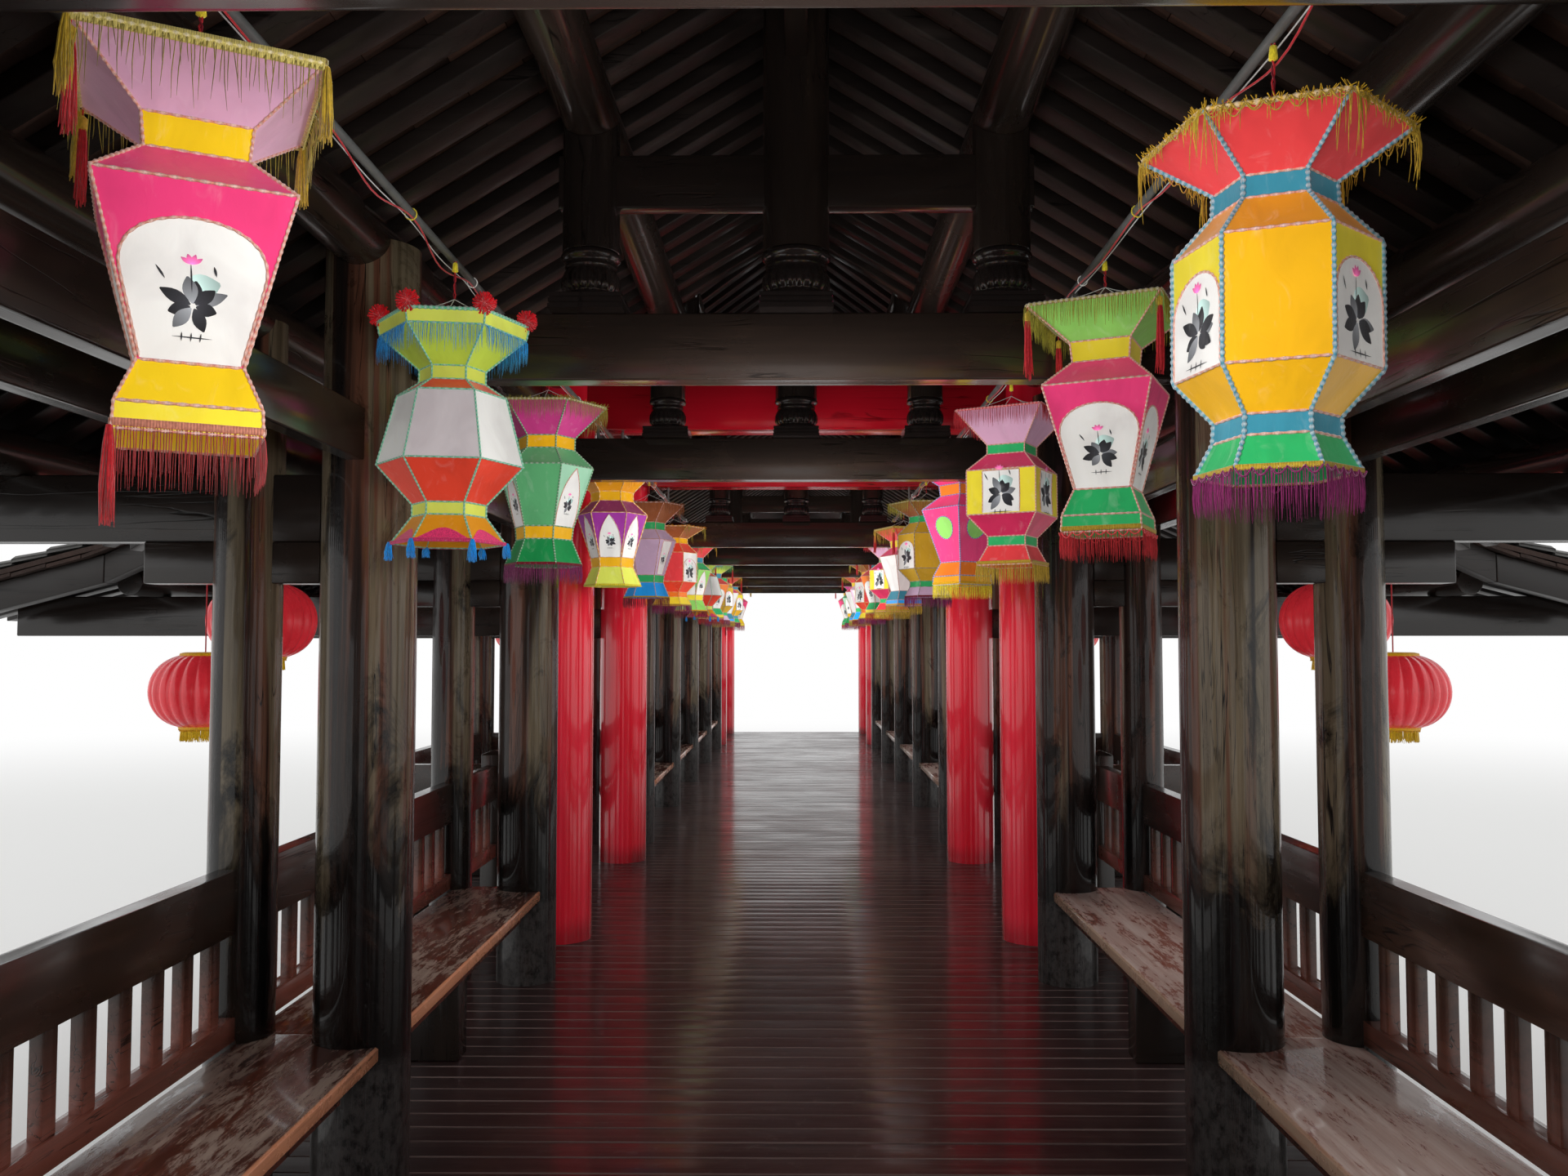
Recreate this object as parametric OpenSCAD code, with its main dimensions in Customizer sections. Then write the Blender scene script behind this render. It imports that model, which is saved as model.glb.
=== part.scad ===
// Covered timber bridge with two colonnaded galleries and three wider pavilions.
// X runs across the bridge, Y along it and Z up. The origin is on the ground below the middle.

/* [Plan] */
// Spacing of the gallery frames
bay = 2300; // [2200:10:2400]
// Number of bays in each gallery
bays = 4; // [3:1:5]
// Spacing of the red columns along a pavilion
pav_bay = 2500; // [2400:10:2600]
// Distance from a red column to the next gallery frame
link = 850; // [800:10:900]
// Length of deck beyond the last red columns
deck_over = 350; // [300:10:450]

/* [Substructure] */
// Height of the deck above the feet of the piers
deck_top = 1400; // [1300:10:1600]
// Thickness of the floor
floor_t = 60; // [50:1:70]
// Width of a joist
joist_w = 100; // [80:1:120]
// Depth of a joist
joist_h = 120; // [100:1:140]
// Number of joist spacings along the bridge
joist_n = 50; // [46:2:54]
// Width of a girder
girder_w = 220; // [200:5:240]
// Depth of a girder
girder_h = 260; // [240:5:280]
// Depth of a pier cap
cap_h = 160; // [140:5:180]
// Amount that a pier cap oversails its pier
cap_over = 50; // [30:5:70]
// Thickness of a pier
pier_t = 500; // [450:10:550]
// Length of the pointed nose on a pier
nose = 260; // [200:10:300]
// Distance from the faces of the outer columns to the edges of the deck
deck_margin = 60; // [50:5:90]
// Amount that the joists stop short of the edges of the deck
joist_in = 40; // [30:5:50]
// Amount that the pier caps stop short of the edges of the deck
cap_in = 30; // [20:5:40]
// Amount that the piers stop short of the edges of the deck
pier_in = 80; // [60:5:100]

/* [Gallery frame] */
// Distance of the inner columns from the middle
inner_x = 1340; // [1320:5:1360]
// Diameter of the inner columns
inner_d = 290; // [270:5:310]
// Distance of the outer columns from the middle
outer_x = 1720; // [1700:5:1740]
// Diameter of the outer columns
outer_d = 205; // [190:5:220]
// Distance of the queen posts from the middle
queen_x = 650; // [620:5:680]
// Diameter of the queen posts
queen_d = 180; // [170:5:190]
// Diameter of the king posts
king_d = 210; // [200:5:220]
// Height of the tie beams above the deck
tie_z = 2475; // [2455:5:2490]
// Depth of the tie beams
tie_h = 210; // [190:5:220]
// Width of the tie beams
tie_w = 95; // [85:5:110]
// Side of the plinths under the short posts
plinth_w = 230; // [220:5:250]
// Height of the plinths
plinth_h = 50; // [40:1:60]
// Height of the lotus bases
lotus_h = 150; // [140:1:160]
// Number of petals round a lotus base
petals = 14; // [12:1:16]
// Height of the ring under the petals
lotus_foot = 28; // [24:1:32]
// Height of the petals
petal_h = 62; // [56:1:66]
// Depth of the grooves between the petals
petal_groove = 9; // [6:0.5:11]
// Amount that the neck of a lotus base is drawn in
neck_in = 14; // [10:1:16]
// Amount that the upper ring of a lotus base stands out past its post
ring_out = 5; // [3:0.5:7]
// Height of the collar beams above the tops of the tie beams
collar_rise = 340; // [330:5:360]
// Depth of the collar beams
collar_h = 170; // [150:5:180]
// Thickness of the collar beams
collar_w = 60; // [50:1:70]
// Amount that a collar beam passes its queen posts
collar_over = 100; // [95:5:120]
// Height of the eave beams above the deck
eave_beam_z = 1970; // [1950:5:1990]
// Depth of the eave beams
eave_beam_h = 210; // [190:5:220]
// Thickness of the eave beams
eave_beam_w = 90; // [80:1:100]
// Depth of the bracket boards under the eave beams
bracket_h = 130; // [110:5:150]
// Amount that a bracket board passes its outer column
bracket_over = 310; // [290:5:330]
// Amount that an eave beam passes its eave purlin
eave_beam_over = 150; // [120:5:160]
// Height of the tie boards between columns above the eave beams
board_rise = 30; // [20:1:50]
// Depth of the tie boards between columns
board_h = 160; // [150:5:170]
// Thickness of the tie boards between columns
board_w = 60; // [50:1:70]
// Height of the ridge tie boards above the collar beams
ridge_board_rise = 280; // [270:5:300]
// Thickness of the ridge tie boards
ridge_board_w = 70; // [60:1:80]

/* [Gallery roof] */
// Height of the underside of the rafters at the ridge
ridge_z = 3820; // [3810:5:3840]
// Fall of the roof in each unit of run
slope = 0.612; // [0.605:0.001:0.618]
// Distance of the eaves from the middle
eave_x = 2880; // [2850:10:2920]
// Distance of the eave purlins from the middle
eave_purlin_x = 2450; // [2430:5:2470]
// Radius of the purlins
purlin_r = 90; // [85:1:95]
// Radius of the eave purlins
eave_purlin_r = 70; // [66:1:74]
// Depth of the flat on a purlin under its rafters
seat = 6; // [5:0.5:8]
// Gap of the joints between rafters and between the slopes of a roof
joint = 2; // [1:0.5:4]
// Number of rafters in a bay
rafter_n = 11; // [9:1:12]
// Width of a rafter
rafter_w = 100; // [90:1:110]
// Depth of a rafter
rafter_t = 50; // [40:1:55]
// Thickness of the tiled roof over the rafters
roof_t = 70; // [60:1:80]
// Distance from the middle of a pavilion to the end of a gallery roof
roof_start = 1700; // [1680:10:1720]
// Width of the lowest course of a ridge cap
ridge_cap_w = 230; // [210:5:250]
// Width of the wall of a ridge cap
ridge_wall_w = 130; // [120:5:150]
// Height of the lowest course of a ridge cap
ridge_course_h = 50; // [40:5:60]
// Height of the wall of a ridge cap
ridge_wall_h = 90; // [70:5:110]
// Radius of the round tiles along the top of a ridge cap
ridge_tile_r = 75; // [70:1:80]

/* [Pavilion] */
// Diameter of the red columns
red_d = 360; // [340:5:370]
// Distance of the outer pavilion columns from the middle
pav_x = 2450; // [2430:5:2470]
// Height of the red beams above the deck
red_beam_z = 2870; // [2860:5:2890]
// Depth of the red beams
red_beam_h = 280; // [260:5:290]
// Width of the red beams
red_beam_w = 200; // [180:5:220]
// Height of the pavilion eave beams above the deck
pav_beam_z = 1700; // [1680:5:1720]
// Depth of the pavilion eave beams
pav_beam_h = 225; // [210:5:230]
// Reach of the pavilion eave beams from the middle
pav_beam_x = 4450; // [4400:10:4500]
// Height of the underside of the pavilion rafters at the eave purlin
pav_eave_z = 2066; // [2060:1:2072]
// Distance of the pavilion eave purlins from the middle
pav_purlin_x = 3640; // [3620:5:3660]
// Distance of the pavilion eaves from the middle
pav_eave_x = 4700; // [4650:10:4750]
// Fall of the pavilion roof beyond its eave purlins
pav_slope_tip = 0.26; // [0.24:0.005:0.28]
// Fall of the pavilion roof over its benches
pav_slope_low = 0.46; // [0.455:0.001:0.465]
// Fall of the pavilion roof between its inner and outer columns
pav_slope_mid = 0.60; // [0.595:0.005:0.61]
// Fall of the pavilion roof at the ridge
pav_slope_high = 0.74; // [0.73:0.005:0.75]
// Depth of the barge boards at the ends of a pavilion roof
barge_h = 150; // [130:5:170]
// Height of the pavilion collar beams above the tops of the red beams
pav_collar_rise = 240; // [235:5:260]
// Overhang of a pavilion roof past its columns
pav_roof_over = 650; // [640:5:680]
// Overhang of the pavilion purlins past their columns
pav_purlin_over = 350; // [300:10:360]
// Number of rafters along a pavilion
pav_rafter_n = 18; // [16:1:19]

/* [Benches and railings] */
// Height of the bench tops above the deck
bench_z = 450; // [440:5:470]
// Thickness of the bench boards
bench_t = 50; // [40:1:55]
// Distance of the bench fronts from the middle
bench_x = 1250; // [1240:5:1270]
// Depth of the pavilion benches
pav_bench_w = 350; // [340:5:370]
// Width of a bench bearer
bearer_w = 120; // [100:5:130]
// Depth of a bench bearer
bearer_h = 90; // [80:5:100]
// Thickness of a railing
rail_w = 60; // [50:1:66]
// Height of the bottom rails above the bench tops
rail_gap = 10; // [5:1:20]
// Depth of the bottom rails
rail_low_h = 70; // [60:1:80]
// Height of the balusters between the rails
baluster_h = 250; // [240:5:270]
// Depth of the top rails
rail_top_h = 190; // [170:5:200]
// Spacing of the balusters
baluster_pitch = 158; // [150:1:166]
// Width of a baluster
baluster_w = 50; // [40:1:56]
// Thickness of a baluster
baluster_t = 35; // [30:1:40]
// Side of a newel post
newel_w = 120; // [110:5:130]
// Amount that a newel post stands above the railings
newel_over = 60; // [40:5:80]
// Depth of the sloped head of a newel post
newel_head = 25; // [15:1:35]
// Width of the worn edges of a bench board
bench_edge = 7; // [4:0.5:10]
// Gap between the ends of two bench boards
bench_gap = 4; // [2:0.5:8]
// Distance of the bench legs and fascias behind the bench fronts
bench_in = 60; // [40:5:80]
// Depth of a gallery bench leg, front to back
leg_d = 220; // [200:5:240]
// Thickness of a fascia board
fascia_t = 30; // [25:1:40]
// Depth of a gallery fascia board
fascia_h = 70; // [60:5:90]
// Depth of a pavilion fascia board
pav_fascia_h = 110; // [90:5:130]
// Distance from a gallery frame to the end of its fascia board
fascia_end = 250; // [200:10:300]

/* [Lanterns] */
// Distance of the left lantern rod from the middle
rod_left_x = 1000; // [980:5:1010]
// Distance of the right lantern rod from the middle
rod_right_x = 880; // [860:5:900]
// Height of the lantern rods above the deck
rod_z = 2770; // [2750:5:2790]
// Diameter of the lantern rods
rod_d = 22; // [18:1:26]
// Amount that the lantern rods pass the last gallery frames
rod_over = 650; // [630:5:660]
// Diameter of the stands and hangers that hold the rods
stand_d = 16; // [12:1:18]
// Height of the lantern bottoms above the deck
lantern_z = 1880; // [1870:5:1890]
// Height of a lantern
lantern_h = 710; // [690:5:730]
// Radius of a lantern at its rim
lantern_r = 255; // [245:5:265]
// Turn of the square lanterns towards the walkway
square_turn = 28; // [20:1:32]
// Diameter of a lantern cord
cord_d = 8; // [6:1:10]
// Radius of a round lantern
round_r = 240; // [220:5:250]
// Height of the body of a round lantern
round_h = 350; // [330:5:370]
// Height of the middle of the upper round lanterns above the deck
round_z = 1760; // [1740:5:1770]
// Drop from an upper round lantern to the lower one beside it
round_drop = 300; // [280:5:310]
// Distance from a frame to the upper round lantern
round_at = 540; // [520:5:560]
// Distance between two round lanterns
round_step = 530; // [510:5:550]
// Radius of the fringe under a round lantern
tassel_r = 80; // [60:5:90]
// Length of the fringe under a round lantern
tassel_h = 60; // [50:5:80]

/* [Hidden] */
gal_half = outer_x + outer_d / 2 + deck_margin;
pav_half = pav_x + outer_d / 2 + deck_margin;
gal_y0 = pav_bay / 2 + link;
gal_len = bay * bays;
end_y = gal_y0 + gal_len + link + pav_bay / 2;
pav_ys = [-end_y, 0, end_y];
deck_len = 2 * (end_y + pav_bay / 2 + deck_over);
pav_deck_y = pav_bay / 2 + deck_over;
frame_ys = [for (s = [-1, 1], k = [0 : bays]) s * (gal_y0 + k * bay)];
red_ys = [for (c = pav_ys, s = [-1, 1]) c + s * pav_bay / 2];
pier_ys = [for (s = [-1, 1], k = [1 : 2 : bays - 1]) s * (gal_y0 + k * bay)];
joist_pitch = (deck_len - joist_w) / joist_n;
girder_z = deck_top - floor_t - joist_h - girder_h;
pier_h = girder_z - cap_h;
angle = atan(slope);
gal_y1 = gal_y0 + gal_len;
gal_roof_y0 = roof_start;
gal_roof_y1 = end_y - roof_start;
rafter_v = rafter_t / cos(angle);
roof_v = roof_t / cos(angle);
tie_top = tie_z + tie_h;
red_top = red_beam_z + red_beam_h;
lotus_top = plinth_h + lotus_h;
far = 500;
eave_beam_x = eave_purlin_x + eave_beam_over;
board_z = eave_beam_z + eave_beam_h + board_rise;
pav_bench_x = pav_x - rail_w / 2 - pav_bench_w;
rail_z = bench_z + rail_gap;
rail_top = rail_z + rail_low_h + baluster_h + rail_top_h;
leg_x = bench_x + bench_in + fascia_t;
gal_line = [[0, ridge_z], [eave_x, ridge_z - slope * eave_x]];
pav_z2 = pav_eave_z + pav_slope_low * (pav_purlin_x - pav_x);
pav_z1 = pav_z2 + pav_slope_mid * (pav_x - inner_x);
pav_z0 = pav_z1 + pav_slope_high * inner_x;
pav_z3 = pav_eave_z - pav_slope_tip * (pav_eave_x - pav_purlin_x);
pav_line = [[0, pav_z0], [inner_x, pav_z1], [pav_x, pav_z2], [pav_purlin_x, pav_eave_z],
  [pav_eave_x, pav_z3]];
eps = 1;

// Places of the lanterns in each bay: distance past its first frame, and past its second
LEFT_PLACES = [[-460, -1050], [330, -530], [550, -400], [1100, 330]];
RIGHT_PLACES = [[-360, -1340], [330, -710], [550, -400], [1100, 330]];
// Square lanterns in each of those two places
LEFT_SQUARES = [[0, 0], [0, 1], [0, 1], [0, 1]];
RIGHT_SQUARES = [[1, 1], [1, 0], [0, 1], [0, 1]];
// Heights and radii of the lantern tapers, as shares of a lantern
HEX_FORM = [[0, 0.61], [0.12, 0.61], [0.21, 0.47], [0.265, 0.46], [0.38, 0.78], [0.71, 0.78],
  [0.82, 0.46], [0.88, 0.45], [1, 1]];
SQUARE_FORM = [[0, 0.6], [0.12, 0.6], [0.29, 0.43], [0.69, 0.82], [0.79, 0.43], [0.87, 0.46],
  [1, 1]];

// Height of a roof line at a distance from the middle
function line_z(line, x) = lookup(x, line);
// Height of the axis of a purlin under a roof line
function purlin_z(line, x, r) = line_z(line, x) - r / cos(angle) + seat;

module on_deck() { translate([0, 0, deck_top]) children(); }
module both_sides() { children(); mirror([1, 0, 0]) children(); }
module both_galleries() { children(); mirror([0, 1, 0]) children(); }

// A profile in X and Z, drawn along Y from y0 to y1
module along(y0, y1) {
  translate([0, y1, 0]) rotate([90, 0, 0]) linear_extrude(y1 - y0) children();
}

// Everything above a roof line, for cutting purlins and stubs
module above(line, y0, y1) {
  last = line[len(line) - 1];
  top = line[0][1] + far;
  along(y0, y1) polygon(concat([[-far, top], [-far, line[0][1] - slope * far]], line,
    [[last[0], top]]));
}

// A round bar along Y
module bar(x, z, r, y0, y1) {
  translate([x, y0, z]) rotate([-90, 0, 0]) cylinder(r = r, h = y1 - y0, $fn = 32);
}

// A purlin with a flat on top where the rafters lie
module purlin(line, x, r, y0, y1) {
  difference() {
    bar(x, purlin_z(line, x, r), r, y0, y1);
    above(line, y0 - eps, y1 + eps);
  }
}

module column(x, y, d, h) { translate([x, y, 0]) cylinder(d = d, h = h, $fn = 48); }

// A layer of even thickness on one slope of a roof, from x0 to x1
module slab(line, x0, x1, z0, t, y0, y1) {
  xs = concat([x0], [for (p = line) if (p[0] > x0 && p[0] < x1) p[0]], [x1]);
  bottoms = [for (x = xs) [x, line_z(line, x) + z0]];
  tops = [for (i = [len(xs) - 1 : -1 : 0]) bottoms[i] + [0, t]];
  along(y0, y1) polygon(concat(bottoms, tops));
}

module stone_piers() {
  color("dimgray") {
    for (y = red_ys) pier(y, pav_half - pier_in);
    for (y = pier_ys) pier(y, gal_half - pier_in);
  }
}

module pier(y, half) {
  translate([0, y, 0]) linear_extrude(pier_h)
    polygon([[half - nose, pier_t / 2], [half, 0], [half - nose, -pier_t / 2],
      [nose - half, -pier_t / 2], [-half, 0], [nose - half, pier_t / 2]]);
}

module cap(y, half) {
  translate([-half, y - pier_t / 2 - cap_over, pier_h])
    cube([2 * half, pier_t + 2 * cap_over, cap_h]);
}

module pier_caps() {
  color("slategray") {
    for (y = red_ys) cap(y, pav_half - cap_in);
    for (y = pier_ys) cap(y, gal_half - cap_in);
  }
}

module deck_girders() {
  color("saddlebrown") {
    for (x = [-outer_x, -outer_x / 2, 0, outer_x / 2, outer_x])
      translate([x - girder_w / 2, -deck_len / 2, girder_z]) cube([girder_w, deck_len, girder_h]);
    both_sides() for (c = pav_ys)
      translate([pav_x - girder_w / 2, c - pav_deck_y, girder_z])
        cube([girder_w, 2 * pav_deck_y, girder_h]);
  }
}

function in_pavilion(y) =
  len([for (c = pav_ys) if (abs(y - c) <= pav_deck_y - joist_w / 2 + eps) c]) > 0;

module deck_joists() {
  color("sienna")
    for (i = [0 : joist_n]) {
      y = (i - joist_n / 2) * joist_pitch;
      half = (in_pavilion(y) ? pav_half : gal_half) - joist_in;
      translate([-half, y - joist_w / 2, girder_z + girder_h]) cube([2 * half, joist_w, joist_h]);
    }
}

module gallery_decks() {
  color("maroon") both_galleries()
    translate([-gal_half, pav_deck_y, deck_top - floor_t])
      cube([2 * gal_half, end_y - 2 * pav_deck_y, floor_t]);
}

module pavilion_decks() {
  color("maroon") for (c = pav_ys) {
    y0 = max(c - pav_deck_y, -deck_len / 2);
    y1 = min(c + pav_deck_y, deck_len / 2);
    translate([-pav_half, y0, deck_top - floor_t]) cube([2 * pav_half, y1 - y0, floor_t]);
  }
}

module inner_columns() {
  color([0.16, 0.11, 0.09]) on_deck() both_sides() difference() {
    for (y = frame_ys) column(inner_x, y, inner_d, purlin_z(gal_line, inner_x, purlin_r));
    both_galleries() bar(inner_x, purlin_z(gal_line, inner_x, purlin_r), purlin_r,
      gal_roof_y0, gal_roof_y1);
  }
}

module outer_columns() {
  color([0.16, 0.11, 0.09]) on_deck() both_sides() difference() {
    for (y = frame_ys) column(outer_x, y, outer_d, purlin_z(gal_line, outer_x, purlin_r));
    both_galleries() bar(outer_x, purlin_z(gal_line, outer_x, purlin_r), purlin_r,
      gal_roof_y0, gal_roof_y1);
    for (y = frame_ys) eave_beam_blank(y);
  }
}

// The eave beam and its bracket board as one block, for the slot in the outer column
module eave_beam_blank(y) {
  translate([inner_x, y - eave_beam_w / 2, eave_beam_z - bracket_h])
    cube([outer_x + outer_d - inner_x, eave_beam_w, eave_beam_h + bracket_h]);
}

module eave_beams() {
  color([0.2, 0.13, 0.1]) on_deck() both_sides() difference() {
    for (y = frame_ys) translate([inner_x, y - eave_beam_w / 2, eave_beam_z])
      cube([eave_beam_x - inner_x, eave_beam_w, eave_beam_h]);
    for (y = frame_ys) column(inner_x, y, inner_d, ridge_z);
    both_galleries() bar(eave_purlin_x, purlin_z(gal_line, eave_purlin_x, eave_purlin_r),
      eave_purlin_r, gal_roof_y0, gal_roof_y1);
  }
}

module bracket_boards() {
  color([0.2, 0.13, 0.1]) on_deck() both_sides() difference() {
    for (y = frame_ys) translate([inner_x, y - eave_beam_w / 2, eave_beam_z - bracket_h])
      cube([outer_x + bracket_over - inner_x, eave_beam_w, bracket_h]);
    for (y = frame_ys) column(inner_x, y, inner_d, ridge_z);
  }
}

module tie_beams() {
  color([0.12, 0.09, 0.08]) on_deck() difference() {
    for (y = frame_ys) translate([-inner_x, y - tie_w / 2, tie_z]) cube([2 * inner_x, tie_w, tie_h]);
    both_sides() for (y = frame_ys) column(inner_x, y, inner_d, ridge_z);
  }
}

// Calls its children for each short post: on gallery tie beams and on red beams
module each_post(z_gal, z_pav, xs) {
  for (x = xs) {
    for (y = frame_ys) translate([x, y, z_gal]) children();
    for (y = red_ys) translate([x, y, z_pav]) children();
  }
}

module post_plinths() {
  color([0.1, 0.08, 0.07]) on_deck()
    each_post(tie_top, red_top, [-queen_x, 0, queen_x])
      translate([-plinth_w / 2, -plinth_w / 2, 0]) cube([plinth_w, plinth_w, plinth_h]);
}

// A turned foot ring, a drum of petals, and a neck with a small bead and a large ring
module lotus(d) {
  r = d / 2;
  neck = r - neck_in;
  neck_z = lotus_foot + petal_h;
  step = (lotus_h - neck_z) / 6;
  rotate_extrude($fn = 48) polygon([[0, 0], [r - petal_groove / 2, 0], [r, lotus_foot / 4],
    [r, lotus_foot * 3 / 4], [r - petal_groove / 2, lotus_foot], [0, lotus_foot]]);
  translate([0, 0, lotus_foot]) linear_extrude(petal_h) petal_ring(r);
  translate([0, 0, neck_z]) rotate_extrude($fn = 48) polygon([[0, 0], [neck, 0],
    [neck + neck_in / 2, step], [neck, 2 * step], [neck, 3 * step],
    [r + ring_out, 4 * step], [r + ring_out, 5 * step], [r, 6 * step], [0, 6 * step]]);
}

// Each petal has a flat face between two flanks that run down into the grooves
module petal_ring(r) {
  polygon([for (i = [0 : petals - 1], p = [[0, petal_groove], [0.3, 0], [0.7, 0]])
    let (a = (i + p[0]) * 360 / petals) (r - p[1]) * [cos(a), sin(a)]]);
}

module lotus_bases() {
  color([0.1, 0.08, 0.07]) on_deck() {
    each_post(tie_top + plinth_h, red_top + plinth_h, [0]) lotus(king_d);
    each_post(tie_top + plinth_h, red_top + plinth_h, [-queen_x, queen_x]) lotus(queen_d);
  }
}

module collar(y, z) {
  translate([-queen_x - collar_over, y - collar_w / 2, z])
    cube([2 * (queen_x + collar_over), collar_w, collar_h]);
}

module all_collars() {
  for (y = frame_ys) collar(y, tie_top + collar_rise);
  for (y = red_ys) collar(y, red_top + pav_collar_rise);
}

module collar_beams() { color([0.12, 0.09, 0.08]) on_deck() all_collars(); }

module posts(x, d) {
  gal_top = purlin_z(gal_line, abs(x), purlin_r);
  pav_top = purlin_z(pav_line, abs(x), purlin_r);
  difference() {
    union() {
      for (y = frame_ys) translate([x, y, tie_top + lotus_top])
        cylinder(d = d, h = gal_top - tie_top - lotus_top, $fn = 48);
      for (y = red_ys) translate([x, y, red_top + lotus_top])
        cylinder(d = d, h = pav_top - red_top - lotus_top, $fn = 48);
    }
    all_collars();
    both_galleries() bar(x, gal_top, purlin_r, gal_roof_y0, gal_roof_y1);
    for (c = pav_ys) bar(x, pav_top, purlin_r, c - pav_bay, c + pav_bay);
  }
}

module king_posts() { color([0.1, 0.08, 0.07]) on_deck() posts(0, king_d); }
module queen_posts() { color([0.1, 0.08, 0.07]) on_deck() both_sides() posts(queen_x, queen_d); }

// A board along each gallery between its columns, which cut it into lengths
module board_between(x, z, w, h, d) {
  difference() {
    both_galleries() translate([x - w / 2, gal_y0, z]) cube([w, gal_len, h]);
    for (y = frame_ys) column(x, y, d, ridge_z + far);
  }
}

module inner_tie_boards() {
  color([0.12, 0.09, 0.08]) on_deck() both_sides()
    board_between(inner_x, board_z, board_w, board_h, inner_d);
}

module outer_tie_boards() {
  color([0.12, 0.09, 0.08]) on_deck() both_sides()
    board_between(outer_x, board_z, board_w, board_h, outer_d);
}

module ridge_tie_boards() {
  z = tie_top + collar_rise + collar_h + ridge_board_rise;
  top = purlin_z(gal_line, 0, purlin_r);
  color([0.12, 0.09, 0.08]) on_deck() difference() {
    board_between(0, z, ridge_board_w, top - z, king_d);
    both_galleries() bar(0, top, purlin_r, gal_roof_y0, gal_roof_y1);
  }
}

module gallery_purlins(x, r) {
  both_galleries() purlin(gal_line, x, r, gal_roof_y0, gal_roof_y1);
}

module ridge_purlins() {
  color([0.12, 0.09, 0.08]) on_deck() both_galleries() difference() {
    purlin(gal_line, 0, purlin_r, gal_roof_y0, gal_roof_y1);
    mirror([1, 0, 0]) above(gal_line, gal_roof_y0 - eps, gal_roof_y1 + eps);
  }
}

module queen_purlins() {
  color([0.12, 0.09, 0.08]) on_deck() both_sides() gallery_purlins(queen_x, purlin_r);
}

module inner_purlins() {
  color([0.12, 0.09, 0.08]) on_deck() both_sides() gallery_purlins(inner_x, purlin_r);
}

module outer_purlins() {
  color([0.12, 0.09, 0.08]) on_deck() both_sides() gallery_purlins(outer_x, purlin_r);
}

module eave_purlins() {
  color([0.12, 0.09, 0.08]) on_deck() both_sides() gallery_purlins(eave_purlin_x, eave_purlin_r);
}

// Rafters stand over every frame and at equal steps between and beyond
module gallery_rafters() {
  pitch = bay / rafter_n;
  first = ceil((gal_roof_y0 + rafter_w - gal_y0) / pitch);
  last = floor((gal_roof_y1 - rafter_w - gal_y0) / pitch);
  color([0.2, 0.14, 0.11]) on_deck() both_sides() both_galleries()
    for (i = [first : last]) {
      y = gal_y0 + i * pitch;
      slab(gal_line, joint / 2, eave_x, 0, rafter_v, y - rafter_w / 2, y + rafter_w / 2);
    }
}

module gallery_roofs() {
  color([0.3, 0.3, 0.3]) on_deck() both_sides() both_galleries()
    slab(gal_line, joint / 2, eave_x, rafter_v, roof_v, gal_roof_y0, gal_roof_y1);
}

// A low course astride the ridge, a narrow wall on it and round tiles along the top
module ridge_cap(top, fall, y0, y1) {
  w = ridge_cap_w / 2;
  n = ridge_wall_w / 2;
  course = top + ridge_course_h;
  wall = course + ridge_wall_h;
  along(y0, y1) polygon([[0, top], [w, top - fall * w], [w, course], [n, course], [n, wall],
    [-n, wall], [-n, course], [-w, course], [-w, top - fall * w]]);
  bar(0, wall, ridge_tile_r, y0, y1);
}

module gallery_ridge_caps() {
  color([0.25, 0.25, 0.25]) on_deck() both_galleries()
    ridge_cap(ridge_z + rafter_v + roof_v, slope, gal_roof_y0, gal_roof_y1);
}

// A railing along Y between two ends, with its balusters clear of what stands at each end
module railing(x, y0, y1, trim0, trim1) {
  clear0 = y0 + trim0;
  clear1 = y1 - trim1;
  n = floor((clear1 - clear0 - 2 * baluster_w) / baluster_pitch);
  translate([x - rail_w / 2, y0, rail_z]) cube([rail_w, y1 - y0, rail_low_h]);
  translate([x - rail_w / 2, y0, rail_top - rail_top_h]) cube([rail_w, y1 - y0, rail_top_h]);
  for (i = [0 : n])
    translate([x - baluster_t / 2, (clear0 + clear1) / 2 + (i - n / 2) * baluster_pitch - baluster_w / 2,
      rail_z + rail_low_h - eps]) cube([baluster_t, baluster_w, baluster_h + 2 * eps]);
}

module railings() {
  half = outer_d / 2;
  color([0.2, 0.13, 0.1]) on_deck() both_sides() {
    difference() {
      both_galleries() {
        for (k = [0 : bays - 1])
          railing(outer_x, gal_y0 + k * bay, gal_y0 + (k + 1) * bay, half, half);
        railing(outer_x, pav_bay / 2 + newel_w / 2, gal_y0, 0, half);
        railing(outer_x, gal_y1, end_y - pav_bay / 2 - newel_w / 2, half, 0);
      }
      for (y = frame_ys) column(outer_x, y, outer_d, ridge_z);
    }
    difference() {
      for (c = pav_ys) railing(pav_x, c - pav_bay / 2, c + pav_bay / 2, half, half);
      for (y = red_ys) column(pav_x, y, outer_d, ridge_z);
    }
    difference() {
      for (y = red_ys) translate([outer_x, y, 0]) rotate([0, 0, -90])
        railing(0, newel_w / 2, pav_x - outer_x, 0, half);
      for (y = red_ys) column(pav_x, y, outer_d, ridge_z);
    }
  }
}

module newel_posts() {
  color([0.16, 0.11, 0.09]) on_deck() both_sides() for (y = red_ys) translate([outer_x, y, 0]) {
    translate([-newel_w / 2, -newel_w / 2, 0]) cube([newel_w, newel_w, rail_top + newel_over]);
    intersection() {
      translate([0, newel_w / 2, rail_top + newel_over]) rotate([90, 0, 0])
        linear_extrude(newel_w) newel_gable();
      translate([-newel_w / 2, 0, rail_top + newel_over]) rotate([90, 0, 90])
        linear_extrude(newel_w) newel_gable();
    }
  }
}

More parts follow.
